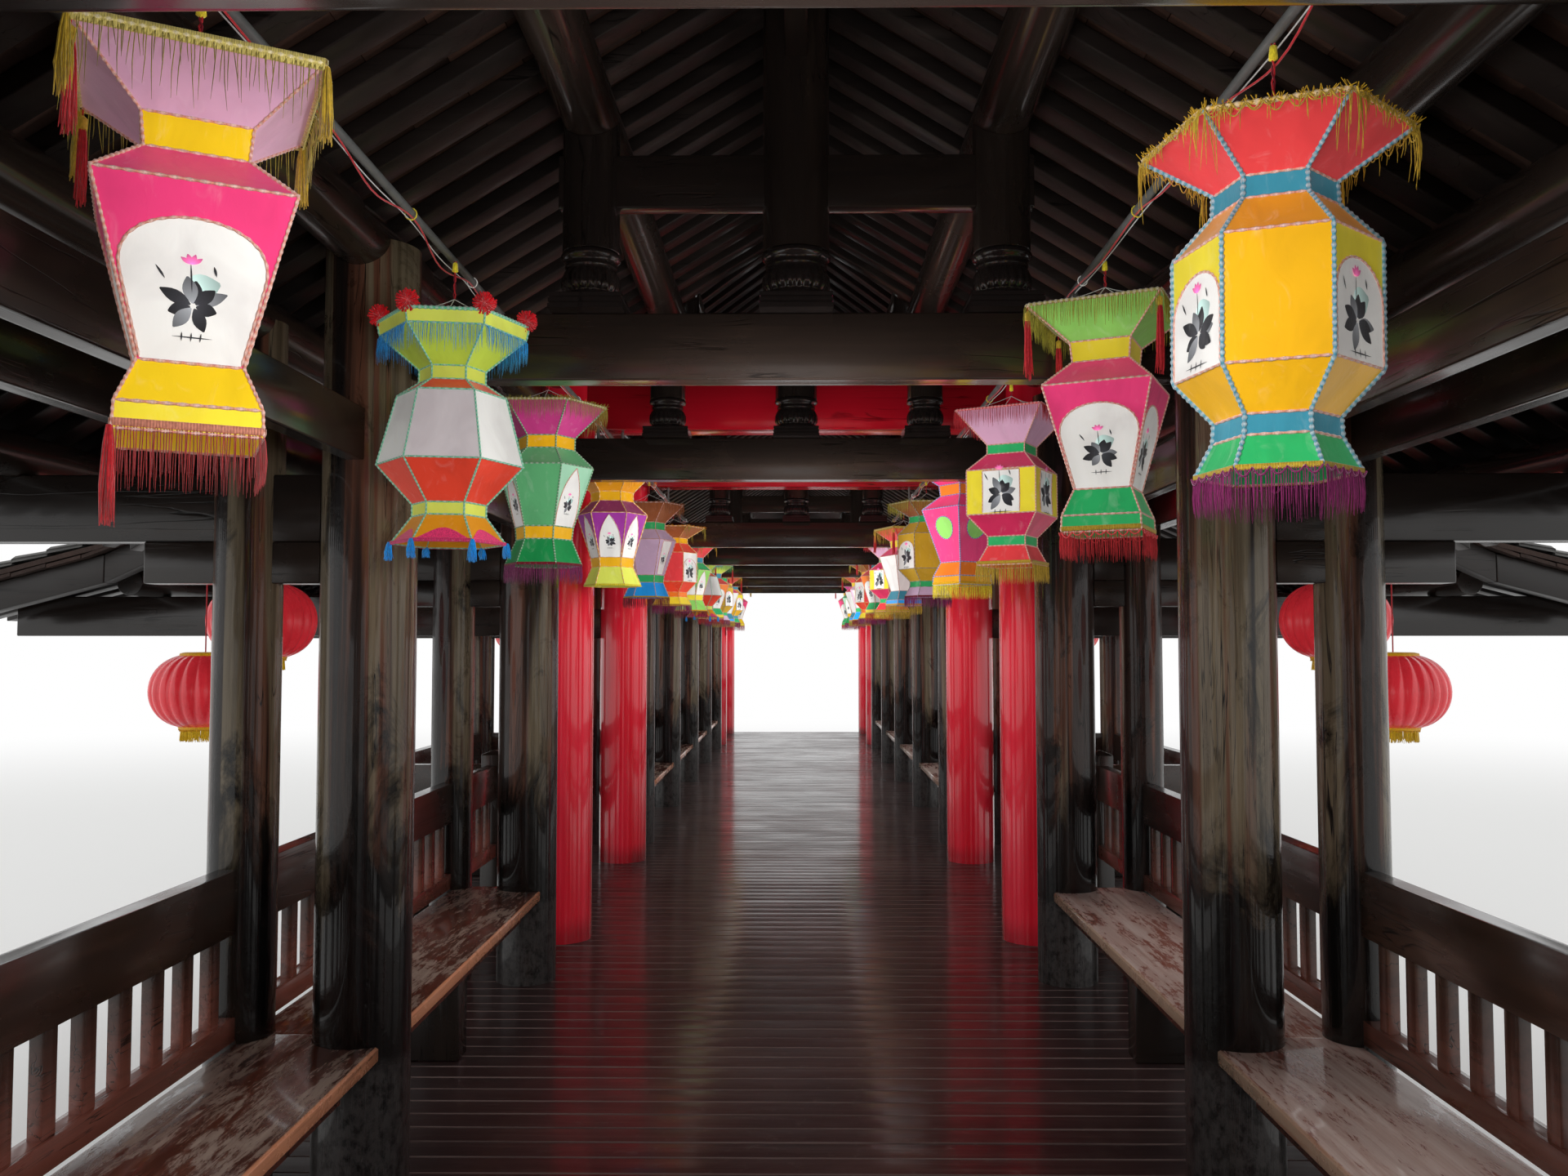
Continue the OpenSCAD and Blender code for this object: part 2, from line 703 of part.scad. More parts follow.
module newel_gable() {
  w = newel_w / 2;
  polygon([[-w, 0], [w, 0], [0, newel_head]]);
}

// A bench board along Y with its front edge at x0 and its worn edges taken off
module bench(x0, w, y0, y1) {
  e = bench_edge;
  z0 = bench_z - bench_t;
  along(y0, y1) translate([x0, 0]) polygon([[e, z0], [w, z0], [w, bench_z], [e, bench_z],
    [0, bench_z - e], [0, z0 + e]]);
}

module bench_boards() {
  color([0.45, 0.25, 0.18]) on_deck() both_sides() {
    difference() {
      both_galleries() for (k = [0 : bays - 1])
        bench(bench_x, outer_x - rail_w / 2 - bench_x, gal_y0 + k * bay + bench_gap / 2,
          gal_y0 + (k + 1) * bay - bench_gap / 2);
      for (y = frame_ys) {
        column(inner_x, y, inner_d, ridge_z);
        column(outer_x, y, outer_d, ridge_z);
      }
    }
    difference() {
      for (c = pav_ys) bench(pav_bench_x, pav_bench_w, c - pav_bay / 2, c + pav_bay / 2);
      for (y = red_ys) column(pav_x, y, outer_d, ridge_z);
    }
  }
}

module bench_bearers() {
  color([0.14, 0.1, 0.08]) on_deck() both_sides() {
    difference() {
      for (y = frame_ys) translate([inner_x, y - bearer_w / 2, bench_z - bench_t - bearer_h])
        cube([outer_x - inner_x, bearer_w, bearer_h]);
      for (y = frame_ys) {
        column(inner_x, y, inner_d, ridge_z);
        column(outer_x, y, outer_d, ridge_z);
      }
    }
    both_galleries() for (k = [0 : bays - 1])
      translate([leg_x, gal_y0 + (k + 0.5) * bay - bearer_w / 2, 0])
        cube([leg_d, bearer_w, bench_z - bench_t]);
    for (c = pav_ys, s = [-1, 1])
      translate([pav_bench_x + bench_in + fascia_t, c + s * pav_bay / 4 - bearer_w / 2, 0])
        cube([leg_d, bearer_w, bench_z - bench_t]);
  }
}

module bench_fascias() {
  color([0.3, 0.17, 0.12]) on_deck() both_sides() {
    both_galleries() for (k = [0 : bays - 1])
      translate([bench_x + bench_in, gal_y0 + k * bay + fascia_end, bench_z - bench_t - fascia_h])
        cube([fascia_t, bay - 2 * fascia_end, fascia_h]);
    for (c = pav_ys)
      translate([pav_bench_x + bench_in, c - pav_bay / 2, bench_z - bench_t - pav_fascia_h])
        cube([fascia_t, pav_bay, pav_fascia_h]);
  }
}

module red_columns() {
  color([0.75, 0.05, 0.07]) on_deck() both_sides() difference() {
    for (y = red_ys) column(inner_x, y, red_d, purlin_z(pav_line, inner_x, purlin_r));
    for (c = pav_ys)
      bar(inner_x, purlin_z(pav_line, inner_x, purlin_r), purlin_r, c - pav_bay, c + pav_bay);
  }
}

module pav_beam_blank(y) {
  translate([inner_x, y - eave_beam_w / 2, pav_beam_z])
    cube([pav_beam_x - inner_x, eave_beam_w, pav_beam_h]);
}

module pavilion_columns() {
  color([0.16, 0.11, 0.09]) on_deck() both_sides() difference() {
    for (y = red_ys) column(pav_x, y, outer_d, purlin_z(pav_line, pav_x, purlin_r));
    for (c = pav_ys)
      bar(pav_x, purlin_z(pav_line, pav_x, purlin_r), purlin_r, c - pav_bay, c + pav_bay);
    for (y = red_ys) pav_beam_blank(y);
  }
}

module red_beams() {
  color([0.6, 0.04, 0.06]) on_deck() difference() {
    for (y = red_ys) translate([-inner_x, y - red_beam_w / 2, red_beam_z])
      cube([2 * inner_x, red_beam_w, red_beam_h]);
    both_sides() for (y = red_ys) column(inner_x, y, red_d, pav_z0);
  }
}

module pavilion_eave_beams() {
  color([0.2, 0.13, 0.1]) on_deck() both_sides() difference() {
    for (y = red_ys) pav_beam_blank(y);
    for (y = red_ys) column(inner_x, y, red_d, pav_z0);
    for (c = pav_ys) {
      bar(pav_purlin_x, purlin_z(pav_line, pav_purlin_x, eave_purlin_r), eave_purlin_r,
        c - pav_bay, c + pav_bay);
      above(pav_line, c - pav_bay, c + pav_bay);
    }
  }
}

module pavilion_tie_boards() {
  color([0.5, 0.04, 0.05]) on_deck() both_sides() difference() {
    for (c = pav_ys) {
      translate([inner_x - board_w / 2, c - pav_bay / 2, red_beam_z])
        cube([board_w, pav_bay, board_h]);
      translate([pav_x - board_w / 2, c - pav_bay / 2, pav_beam_z + pav_beam_h + board_rise])
        cube([board_w, pav_bay, board_h]);
    }
    for (y = red_ys) {
      column(inner_x, y, red_d, pav_z0);
      column(pav_x, y, outer_d, pav_z0);
    }
  }
}

module pavilion_purlins() {
  reach = pav_bay / 2 + pav_purlin_over;
  color([0.12, 0.09, 0.08]) on_deck() for (c = pav_ys) {
    difference() {
      purlin(pav_line, 0, purlin_r, c - reach, c + reach);
      mirror([1, 0, 0]) above(pav_line, c - reach - eps, c + reach + eps);
    }
    both_sides() {
      for (x = [queen_x, inner_x, pav_x]) purlin(pav_line, x, purlin_r, c - reach, c + reach);
      purlin(pav_line, pav_purlin_x, eave_purlin_r, c - reach, c + reach);
    }
  }
}

// Each rafter of a pavilion is in four lengths, which meet over the purlins. The two at the
// ends of the roof are deeper and make the barge boards.
module pavilion_rafters() {
  span = pav_bay + 2 * pav_roof_over - 2 * rafter_w;
  color([0.2, 0.14, 0.11]) on_deck() both_sides()
    for (c = pav_ys, i = [0 : pav_rafter_n - 1], k = [0 : len(pav_line) - 2]) {
      y = c - span / 2 + i * span / (pav_rafter_n - 1);
      last = k == len(pav_line) - 2;
      drop = i == 0 || i == pav_rafter_n - 1 ? barge_h - rafter_v : 0;
      slab(pav_line, pav_line[k][0] + joint / 2, pav_line[k + 1][0] - (last ? 0 : joint / 2),
        -drop, rafter_v + drop, y - rafter_w / 2, y + rafter_w / 2);
    }
}

module pavilion_roofs() {
  reach = pav_bay / 2 + pav_roof_over;
  color([0.3, 0.3, 0.3]) on_deck() both_sides() for (c = pav_ys)
    slab(pav_line, joint / 2, pav_eave_x, rafter_v, roof_v, c - reach, c + reach);
}

module pavilion_ridge_caps() {
  reach = pav_bay / 2 + pav_roof_over;
  color([0.25, 0.25, 0.25]) on_deck() for (c = pav_ys)
    ridge_cap(pav_z0 + rafter_v + roof_v, pav_slope_high, c - reach, c + reach);
}

// Rods over the walkway, on a stand at each frame and a hanger at each red beam between them
module lantern_rods() {
  color("gray") on_deck() for (x = [-rod_left_x, rod_right_x]) {
    bar(x, rod_z, rod_d / 2, -gal_y1 - rod_over, gal_y1 + rod_over);
    for (y = frame_ys) translate([x, y, tie_top])
      cylinder(d = stand_d, h = rod_z - tie_top, $fn = 24);
    for (y = red_ys) if (abs(y) < gal_y0) translate([x, y, rod_z])
      cylinder(d = stand_d, h = red_beam_z - rod_z, $fn = 24);
  }
}

// A lantern of stacked tapers on a cord from its rod
module lantern(sides, form) {
  for (i = [0 : len(form) - 2]) translate([0, 0, form[i][0] * lantern_h])
    cylinder(r1 = form[i][1] * lantern_r, r2 = form[i + 1][1] * lantern_r,
      h = (form[i + 1][0] - form[i][0]) * lantern_h, $fn = sides);
  translate([0, 0, lantern_h - eps])
    cylinder(d = cord_d, h = rod_z - rod_d / 2 - lantern_z - lantern_h + eps, $fn = 16);
}

// Puts its children at each place of a rod whose choice is the wanted one
module lanterns_at(x, places, squares, wanted) {
  both_galleries() for (k = [0 : bays - 1], i = [0, 1]) {
    n = k % len(places);
    if (squares[n][i] == wanted)
      translate([x, gal_y0 + (k + i) * bay + places[n][i], lantern_z]) children();
  }
}

module hexagonal_lanterns() {
  color("gold") on_deck() {
    lanterns_at(-rod_left_x, LEFT_PLACES, LEFT_SQUARES, 0) lantern(6, HEX_FORM);
    lanterns_at(rod_right_x, RIGHT_PLACES, RIGHT_SQUARES, 0) lantern(6, HEX_FORM);
    for (x = [-rod_left_x, rod_right_x]) translate([x, 0, lantern_z]) lantern(6, HEX_FORM);
  }
}

module square_lanterns() {
  half_side = 45;
  color("hotpink") on_deck() {
    lanterns_at(-rod_left_x, LEFT_PLACES, LEFT_SQUARES, 1)
      rotate([0, 0, half_side - square_turn]) lantern(4, SQUARE_FORM);
    lanterns_at(rod_right_x, RIGHT_PLACES, RIGHT_SQUARES, 1)
      rotate([0, 0, half_side + square_turn]) lantern(4, SQUARE_FORM);
  }
}

// A round lantern and its fringe on a cord from the eave purlin
module round_lantern(y, z) {
  top = purlin_z(gal_line, eave_purlin_x, eave_purlin_r) - eave_purlin_r;
  end_a = 72;
  translate([eave_purlin_x, y, z]) {
    rotate_extrude($fn = 48) polygon(concat([[0, -round_h / 2]],
      [for (a = [-end_a : 12 : end_a]) [round_r * cos(a), round_h / 2 * sin(a) / sin(end_a)]],
      [[0, round_h / 2]]));
    translate([0, 0, round_h / 2 - eps])
      cylinder(d = cord_d, h = top - z - round_h / 2 + eps, $fn = 16);
    translate([0, 0, -round_h / 2 - tassel_h]) cylinder(r = tassel_r, h = tassel_h + eps, $fn = 32);
  }
}

module round_lanterns() {
  color("red") on_deck() both_sides() both_galleries() {
    round_lantern(gal_y0 + round_at, round_z);
    round_lantern(gal_y0 + round_at + round_step, round_z - round_drop);
  }
}

stone_piers();
pier_caps();
deck_girders();
deck_joists();
gallery_decks();
pavilion_decks();
inner_columns();
outer_columns();
tie_beams();
post_plinths();
lotus_bases();
king_posts();
queen_posts();
collar_beams();
eave_beams();
bracket_boards();
inner_tie_boards();
outer_tie_boards();
ridge_tie_boards();
ridge_purlins();
queen_purlins();
inner_purlins();
outer_purlins();
eave_purlins();
gallery_rafters();
gallery_roofs();
gallery_ridge_caps();
railings();
newel_posts();
bench_boards();
bench_bearers();
bench_fascias();
red_columns();
pavilion_columns();
red_beams();
pavilion_eave_beams();
pavilion_tie_boards();
pavilion_purlins();
pavilion_rafters();
pavilion_roofs();
pavilion_ridge_caps();
lantern_rods();
hexagonal_lanterns();
square_lanterns();
round_lanterns();
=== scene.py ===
"""A covered timber bridge: two galleries of dark lacquered columns and three wider pavilions
with red columns, under tiled roofs, with silk lanterns along both sides of the walk.
"""
import math

import bmesh
import bpy
import numpy as np
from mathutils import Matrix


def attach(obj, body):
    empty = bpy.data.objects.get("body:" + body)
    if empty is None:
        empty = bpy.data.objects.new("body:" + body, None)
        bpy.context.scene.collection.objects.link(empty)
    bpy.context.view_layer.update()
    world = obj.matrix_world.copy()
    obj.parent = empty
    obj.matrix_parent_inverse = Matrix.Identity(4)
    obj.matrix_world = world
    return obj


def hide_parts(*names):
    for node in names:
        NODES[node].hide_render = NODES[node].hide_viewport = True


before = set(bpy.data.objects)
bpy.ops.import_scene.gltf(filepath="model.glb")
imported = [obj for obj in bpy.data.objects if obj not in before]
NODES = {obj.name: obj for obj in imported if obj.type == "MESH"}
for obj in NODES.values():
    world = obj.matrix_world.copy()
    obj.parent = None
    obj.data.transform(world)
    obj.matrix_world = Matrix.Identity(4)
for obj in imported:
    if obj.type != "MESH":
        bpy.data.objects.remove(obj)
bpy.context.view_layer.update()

TAU = 2 * math.pi

# Sizes of the bridge in metres, as in the part's source
DECK = 1.4
FLOOR_T = 0.06
BAY = 2.3
FRAMES = [side * (2.1 + BAY * k) for side in (-1, 1) for k in range(5)]
PAVILIONS = [-13.4, 0.0, 13.4]
RED_FRAMES = [c + s * 1.25 for c in PAVILIONS for s in (-1, 1)]
GALLERY_HALF, PAVILION_HALF = 1.8825, 2.6125
PAVILION_DECK = 1.6
DECK_END = 15.0
GALLERY_LINE = [(0.0, 3.82), (2.88, 3.82 - 0.612 * 2.88)]
PAVILION_LINE = [(0.0, 4.271), (1.34, 3.2794), (2.45, 2.6134), (3.64, 2.066), (4.7, 1.7904)]
RAFTER_V = 0.05 / math.cos(math.atan(0.612))
ROD_X, ROD_Z = {-1: 1.0, 1: 0.88}, 2.77


# Surfaces

def grid_quads(rows, cols, wrap_rows=False, wrap_cols=False):
    """Corner numbers of the quads of a grid of rows x cols points. A wrapped direction joins
    its last line of points to its first."""
    r = np.arange(rows if wrap_rows else rows - 1)
    c = np.arange(cols if wrap_cols else cols - 1)
    r, c = np.meshgrid(r, c, indexing="ij")
    r1, c1 = (r + 1) % rows, (c + 1) % cols
    return np.stack([r * cols + c, r * cols + c1, r1 * cols + c1, r1 * cols + c], -1).reshape(-1, 4)


def repeated(points, quads, count):
    """The quads of `count` copies of a shape, whose points follow each other."""
    step = np.arange(count)[:, None, None] * points
    return (quads[None] + step).reshape(-1, quads.shape[1])


class Heap:
    """Gathers points, quads and values for one piece made of many like parts."""

    def __init__(self):
        self.points, self.quads, self.values, self.total = [], [], {}, 0

    def add(self, points, quads, **values):
        """Adds points (..., 3) with their quads. Each value is one number or colour for all the
        points, or one for each."""
        points = np.asarray(points, float).reshape(-1, 3)
        self.points.append(points)
        self.quads.append(np.asarray(quads) + self.total)
        self.total += len(points)
        for key, value in values.items():
            value = np.asarray(value, float)
            each = value.ndim > (key == "tint") and len(value) == len(points)
            full = value if each else np.broadcast_to(value, (len(points),) + value.shape)
            self.values.setdefault(key, []).append(full)

    def piece(self, name, finish, slot, nodes=(), smooth=False):
        """Makes the object, which rides on the bridge's one body."""
        points = np.concatenate(self.points)
        quads = np.concatenate(self.quads)
        values = {k: np.concatenate(v) for k, v in self.values.items()}
        return make_piece(name, points, quads, finish, nodes, values, smooth)


def make_piece(name, points, quads, finish, nodes=(), values=None, smooth=False):
    """An object from arrays of points and quads. Values are stored on the points: single
    numbers as floats and triples as colours."""
    mesh = bpy.data.meshes.new(name)
    mesh.vertices.add(len(points))
    mesh.vertices.foreach_set("co", np.ascontiguousarray(points, np.float32).ravel())
    quads = np.ascontiguousarray(quads, np.int32)
    mesh.loops.add(quads.size)
    mesh.loops.foreach_set("vertex_index", quads.ravel())
    mesh.polygons.add(len(quads))
    mesh.polygons.foreach_set("loop_start", np.arange(0, quads.size, quads.shape[1], dtype=np.int32))
    for key, value in (values or {}).items():
        if value.ndim == 1:
            data = mesh.attributes.new(key, "FLOAT", "POINT")
            data.data.foreach_set("value", value.astype(np.float32))
        else:
            rgba = np.ones((len(value), 4), np.float32)
            rgba[:, :3] = value
            data = mesh.attributes.new(key, "FLOAT_COLOR", "POINT")
            data.data.foreach_set("color", rgba.ravel())
    mesh.update(calc_edges=True)
    mesh.validate()
    mesh.shade_smooth() if smooth else mesh.shade_flat()
    piece = bpy.data.objects.new(name, mesh)
    return dressed(piece, finish, nodes)


def dressed(piece, finish, nodes=()):
    """Gives a new piece its material and the nodes that it stands for."""
    if piece.name not in bpy.context.scene.collection.objects:
        bpy.context.scene.collection.objects.link(piece)
    piece.data.materials.clear()
    piece.data.materials.append(finish)
    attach(piece, "root")
    if nodes:
        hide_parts(*nodes)
    return piece


def softened(node, width, finish, turns=2, seed=1):
    """A copy of a node with its corners rounded to the given width. The value "member" is one
    random number for each separate timber."""
    mesh = bpy.data.meshes.new(node + "_timber")
    form = bmesh.new()
    form.from_mesh(NODES[node].data)
    bmesh.ops.remove_doubles(form, verts=form.verts, dist=2e-5)
    bmesh.ops.dissolve_limit(form, angle_limit=0.004, verts=form.verts, edges=form.edges)
    sharp = [e for e in form.edges if len(e.link_faces) == 2 and e.calc_face_angle(0) > 0.5]
    bmesh.ops.bevel(form, geom=sharp, offset=width, segments=turns, profile=0.5,
                    affect="EDGES", clamp_overlap=True, harden_normals=False)
    member = islands(form, seed)
    form.to_mesh(mesh)
    form.free()
    data = mesh.attributes.new("member", "FLOAT", "POINT")
    data.data.foreach_set("value", member)
    mesh.shade_smooth()
    piece = bpy.data.objects.new(node + "_timber", mesh)
    bpy.context.scene.collection.objects.link(piece)
    mesh.set_sharp_from_angle(angle=0.6)
    return dressed(piece, finish, [node])


def islands(form, seed):
    """One random number for each connected island of a mesh, given to all its points."""
    form.verts.ensure_lookup_table()
    form.verts.index_update()
    mark = np.full(len(form.verts), -1)
    found = 0
    for start in form.verts:
        if mark[start.index] >= 0:
            continue
        mark[start.index] = found
        todo = [start]
        while todo:
            for e in todo.pop().link_edges:
                for v in e.verts:
                    if mark[v.index] < 0:
                        mark[v.index] = found
                        todo.append(v)
        found += 1
    return np.random.default_rng(seed).random(max(found, 1))[mark].astype(np.float32)


# Finishes

class Value:
    """A socket of a finish. Sums, products and the rest add Math nodes."""

    def __init__(self, finish, socket):
        self.finish, self.socket = finish, socket

    def math(self, operation, *others):
        """Adds a Math node of any kind."""
        return self.finish.node("ShaderNodeMath", {"operation": operation}, self, *others)

    def __add__(self, other):
        return self.math("ADD", other)

    def __sub__(self, other):
        return self.math("SUBTRACT", other)

    def __mul__(self, other):
        return self.math("MULTIPLY", other)

    def __truediv__(self, other):
        return self.math("DIVIDE", other)

    def __rsub__(self, other):
        return (self * -1.0).math("ADD", other)

    __radd__, __rmul__ = __add__, __mul__

    def clip(self):
        """Keeps the value between 0 and 1."""
        return self.finish.node("ShaderNodeClamp", {}, self, 0.0, 1.0)

    def steps(self, low, high, to_low=0.0, to_high=1.0):
        """Runs smoothly from to_low to to_high as the value goes from low to high."""
        return self.finish.node("ShaderNodeMapRange", {"interpolation_type": "SMOOTHSTEP"},
                                self, low, high, to_low, to_high)


class Finish:
    """A material built from nodes."""

    def __init__(self, name):
        self.material = bpy.data.materials.new(name)
        self.material.use_nodes = True
        self.tree = self.material.node_tree
        self.tree.nodes.clear()
        self.object = self.node("ShaderNodeTexCoord", {}, out="Object")

    def node(self, kind, settings, *values, out=0, **named):
        """Adds a node: its settings first, then its sockets by order and by name."""
        made = self.tree.nodes.new(kind)
        for key, value in settings.items():
            setattr(made, key, value)
        for place, value in enumerate(values):
            self.put(made.inputs[place], value)
        for key, value in named.items():
            self.put(made.inputs[key.replace("_", " ")], value)
        return Value(self, made.outputs[out])

    def put(self, socket, value):
        """Links a value to a socket, or sets the socket's own number or colour."""
        if isinstance(value, Value):
            self.tree.links.new(value.socket, socket)
        else:
            socket.default_value = value

    def mix(self, factor, a, b, how="MIX"):
        """One colour into another. Colours are triples or sockets."""
        made = self.tree.nodes.new("ShaderNodeMix")
        made.data_type, made.blend_type = "RGBA", how
        for k, v in ((0, factor), (6, a), (7, b)):
            self.put(made.inputs[k], (*v, 1.0) if isinstance(v, tuple) and len(v) == 3 else v)
        return Value(self, made.outputs[2])

    def vector(self, operation, a, b):
        """Adds a Vector Math node of any kind."""
        return self.node("ShaderNodeVectorMath", {"operation": operation}, a, b)

    def attribute(self, name, out="Fac"):
        """A value that is stored on the points of the mesh."""
        return self.node("ShaderNodeAttribute", {"attribute_name": name}, out=out)

    def noise(self, at, scale=1.0, detail=3.0, roughness=0.5, distortion=0.0):
        """Smooth noise of 0 to 1 at a place."""
        return self.node("ShaderNodeTexNoise", {}, Vector=at, Scale=scale, Detail=detail,
                         Roughness=roughness, Distortion=distortion)

    def parts(self, at):
        """The three coordinates of a vector, one by one."""
        made = self.tree.nodes.new("ShaderNodeSeparateXYZ")
        self.put(made.inputs[0], at)
        return [Value(self, s) for s in made.outputs]

    def place(self, stretch, member=None):
        """Object coordinates, stretched, and moved away at random for each member."""
        at = self.object
        if member is not None:
            away = self.node("ShaderNodeCombineXYZ", {}, member * 31.0, member * 17.0, member * 53.0)
            at = self.vector("ADD", at, away)
        return self.vector("MULTIPLY", at, stretch)

    def bump(self, height, strength=0.3, distance=0.002):
        """A normal tilted by the slope of a height."""
        return self.node("ShaderNodeBump", {}, Strength=strength, Distance=distance, Height=height)

    def end(self, colour, roughness, bump=None, **fixed):
        """The shader itself. Fixed values are set on its own sockets."""
        shader = self.tree.nodes.new("ShaderNodeBsdfPrincipled")
        self.put(shader.inputs["Base Color"], (*colour, 1.0) if isinstance(colour, tuple) else colour)
        self.put(shader.inputs["Roughness"], roughness)
        if bump is not None:
            self.put(shader.inputs["Normal"], bump)
        for key, value in fixed.items():
            self.put(shader.inputs[key.replace("_", " ")], value)
        out = self.tree.nodes.new("ShaderNodeOutputMaterial")
        self.tree.links.new(shader.outputs[0], out.inputs[0])
        return self.material


def grain(axis, along=0.6, across=14.0):
    """How coordinates are stretched so that a pattern runs along one axis."""
    return tuple(along if k == axis else across for k in "XYZ")


def timber_finish(name, axis, dark, light, shine=0.28, wear=0.35, fibre_deep=0.35, coat=0.35,
                  foot=None):
    """Lacquered timber: fibres along its length, clouds of thinner lacquer where the wood shows
    through, fine cracks along the grain and an uneven gloss. A colour given as foot shows near
    the floor, more of it on the left."""
    f = Finish(name)
    member = f.attribute("member")
    fibre = f.noise(f.place(grain(axis, 1.2, 34.0), member), 1.0, 6.0, 0.65, 0.4)
    streak = f.noise(f.place(grain(axis, 0.45, 9.0), member), 1.0, 4.0, 0.55, 0.2)
    cloud = f.noise(f.place((1.6, 1.6, 1.6), member), 1.0, 4.0, 0.6)
    crack = f.noise(f.place(grain(axis, 0.8, 16.0), member), 1.0, 3.0, 0.5, 0.6)
    crack = (crack - 0.5).math("ABSOLUTE").steps(0.0, 0.012, 1.0, 0.0) * cloud.steps(0.45, 0.6)
    worn = (streak * 0.6 + cloud * 0.4).steps(0.5, 0.72) * wear
    tone = (worn + fibre.steps(0.35, 0.8) * 0.25 * wear + member * 0.12).clip()
    colour = f.mix(tone, dark, light)
    if foot:
        across, _, level = f.parts(f.object)
        low = level.steps(DECK + 0.50, DECK + 0.80, 1.0, 0.0) * fibre.steps(0.25, 0.6, 0.45, 1.0)
        colour = f.mix(low * across.steps(-0.5, 0.5, 1.0, 0.45), colour, foot)
    colour = f.mix(crack, colour, tuple(0.3 * c for c in dark))
    rough = (fibre - 0.5) * 0.12 + cloud.steps(0.35, 0.7, shine * 0.75, shine * 1.35)
    height = fibre * fibre_deep + streak * 0.8 - crack * 0.8
    return f.end(colour, rough, f.bump(height, 0.35, 0.003), Coat_Weight=coat, Coat_Roughness=0.12)


def column_finish(name):
    """The dark columns: black and blotchy below, and above in upright zones of red-brown, olive
    and black, with cracks up and down and dusty feet. The lighter zones above are partly
    thinned lacquer and partly a painted reflection of the bright outside."""
    f = Finish(name)
    member = f.attribute("member")
    level = f.parts(f.object)[2]
    fibre = f.noise(f.place((46.0, 46.0, 1.6), member), 1.0, 6.0, 0.65, 0.3)
    streak = f.noise(f.place((11.0, 11.0, 0.28), member), 1.0, 5.0, 0.6, 0.5)
    zone = f.noise(f.place((8.0, 8.0, 0.16), member + 3.7), 1.0, 3.0, 0.5, 0.4)
    blotch = f.noise(f.place((6.0, 6.0, 2.6), member), 1.0, 6.0, 0.68, 0.8)
    chip = f.noise(f.place((34.0, 34.0, 24.0), member), 1.0, 5.0, 0.7)
    crack = f.noise(f.place((21.0, 21.0, 0.8), member), 1.0, 4.0, 0.5, 0.8)
    crack = (crack - 0.5).math("ABSOLUTE").steps(0.0, 0.012, 1.0, 0.0) * streak.steps(0.42, 0.6)
    # Painted reflection: from 0.8 to 1.2 m above the deck upwards, the column shows lighter olive and
    # red-brown zones, partly thinned lacquer and partly the bright outside reflected in the gloss.
    upper = (level + (blotch - 0.5) * 1.1).steps(DECK + 0.80, DECK + 1.20)
    umber = f.mix(streak.steps(0.42, 0.58), (0.016, 0.009, 0.007), (0.150, 0.062, 0.038))
    olive = f.mix(fibre.steps(0.3, 0.7), (0.100, 0.076, 0.046), (0.245, 0.200, 0.132))
    thinned_and_reflected = f.mix(zone.steps(0.525, 0.575) * 0.9, umber, olive)
    thinned_and_reflected = f.mix((0.47 - zone).steps(0.0, 0.04) * 0.85, thinned_and_reflected, (0.010, 0.008, 0.008))
    black = f.mix(blotch.steps(0.45, 0.75) * 0.5, (0.002, 0.002, 0.002), (0.020, 0.009, 0.007))
    # Where the lighter zones show through the black: mostly above, with the painted reflection.
    bare = (upper * 0.92 + 0.02) * blotch.steps(0.28, 0.46)
    colour = f.mix(bare.clip(), black, thinned_and_reflected)
    # Lighter fibre streaks, stronger above, as part of the painted reflection.
    colour = f.mix(fibre.steps(0.5, 0.85) * (upper * 0.25 + 0.08), colour, (0.100, 0.066, 0.044))
    colour = f.mix(crack, colour, (0.003, 0.002, 0.002))
    dust = level.steps(DECK + 0.36, DECK + 0.42, 0.55, 0.0)
    colour = f.mix(dust * chip.steps(0.3, 0.6), colour, (0.070, 0.062, 0.060))
    rough = blotch.steps(0.3, 0.75, 0.12, 0.30) + upper * 0.12 + (fibre - 0.5) * 0.08
    rough = rough + chip.steps(0.55, 0.75) * 0.12 + dust * 0.3
    height = fibre * 0.30 + streak * 2.0 + blotch * 1.5 + chip * 0.6 - crack * 0.8
    return f.end(colour, rough, f.bump(height, 0.7, 0.004), Specular_IOR_Level=0.25,
                 Coat_Weight=0.5, Coat_Roughness=0.05)


def red_finish(name):
    """Vermilion lacquer on the round columns: glossy, with faint drips and darker feet."""
    f = Finish(name)
    member = f.attribute("member")
    level = f.parts(f.object)[2]
    streak = f.noise(f.place((9.0, 9.0, 0.4), member), 1.0, 4.0, 0.55, 0.3)
    cloud = f.noise(f.place((2.5, 2.5, 1.2), member), 1.0, 4.0, 0.6)
    fine = f.noise(f.place((60.0, 60.0, 4.0), member), 1.0, 3.0, 0.6)
    colour = f.mix(streak.steps(0.35, 0.7), (0.76, 0.010, 0.028), (0.94, 0.028, 0.060))
    colour = f.mix(cloud.steps(0.5, 0.8) * 0.3, colour, (0.52, 0.005, 0.016))
    foot = level.steps(DECK + 0.02, DECK + 0.16, 0.75, 0.0) * cloud.steps(0.3, 0.7, 0.5, 1.0)
    colour = f.mix(foot, colour, (0.09, 0.01, 0.012))
    rough = cloud.steps(0.3, 0.75, 0.14, 0.24)
    return f.end(colour, rough, f.bump(streak * 1.8 + fine * 0.12, 0.45, 0.003),
                 Coat_Weight=0.7, Coat_Roughness=0.06, Coat_IOR=1.6)


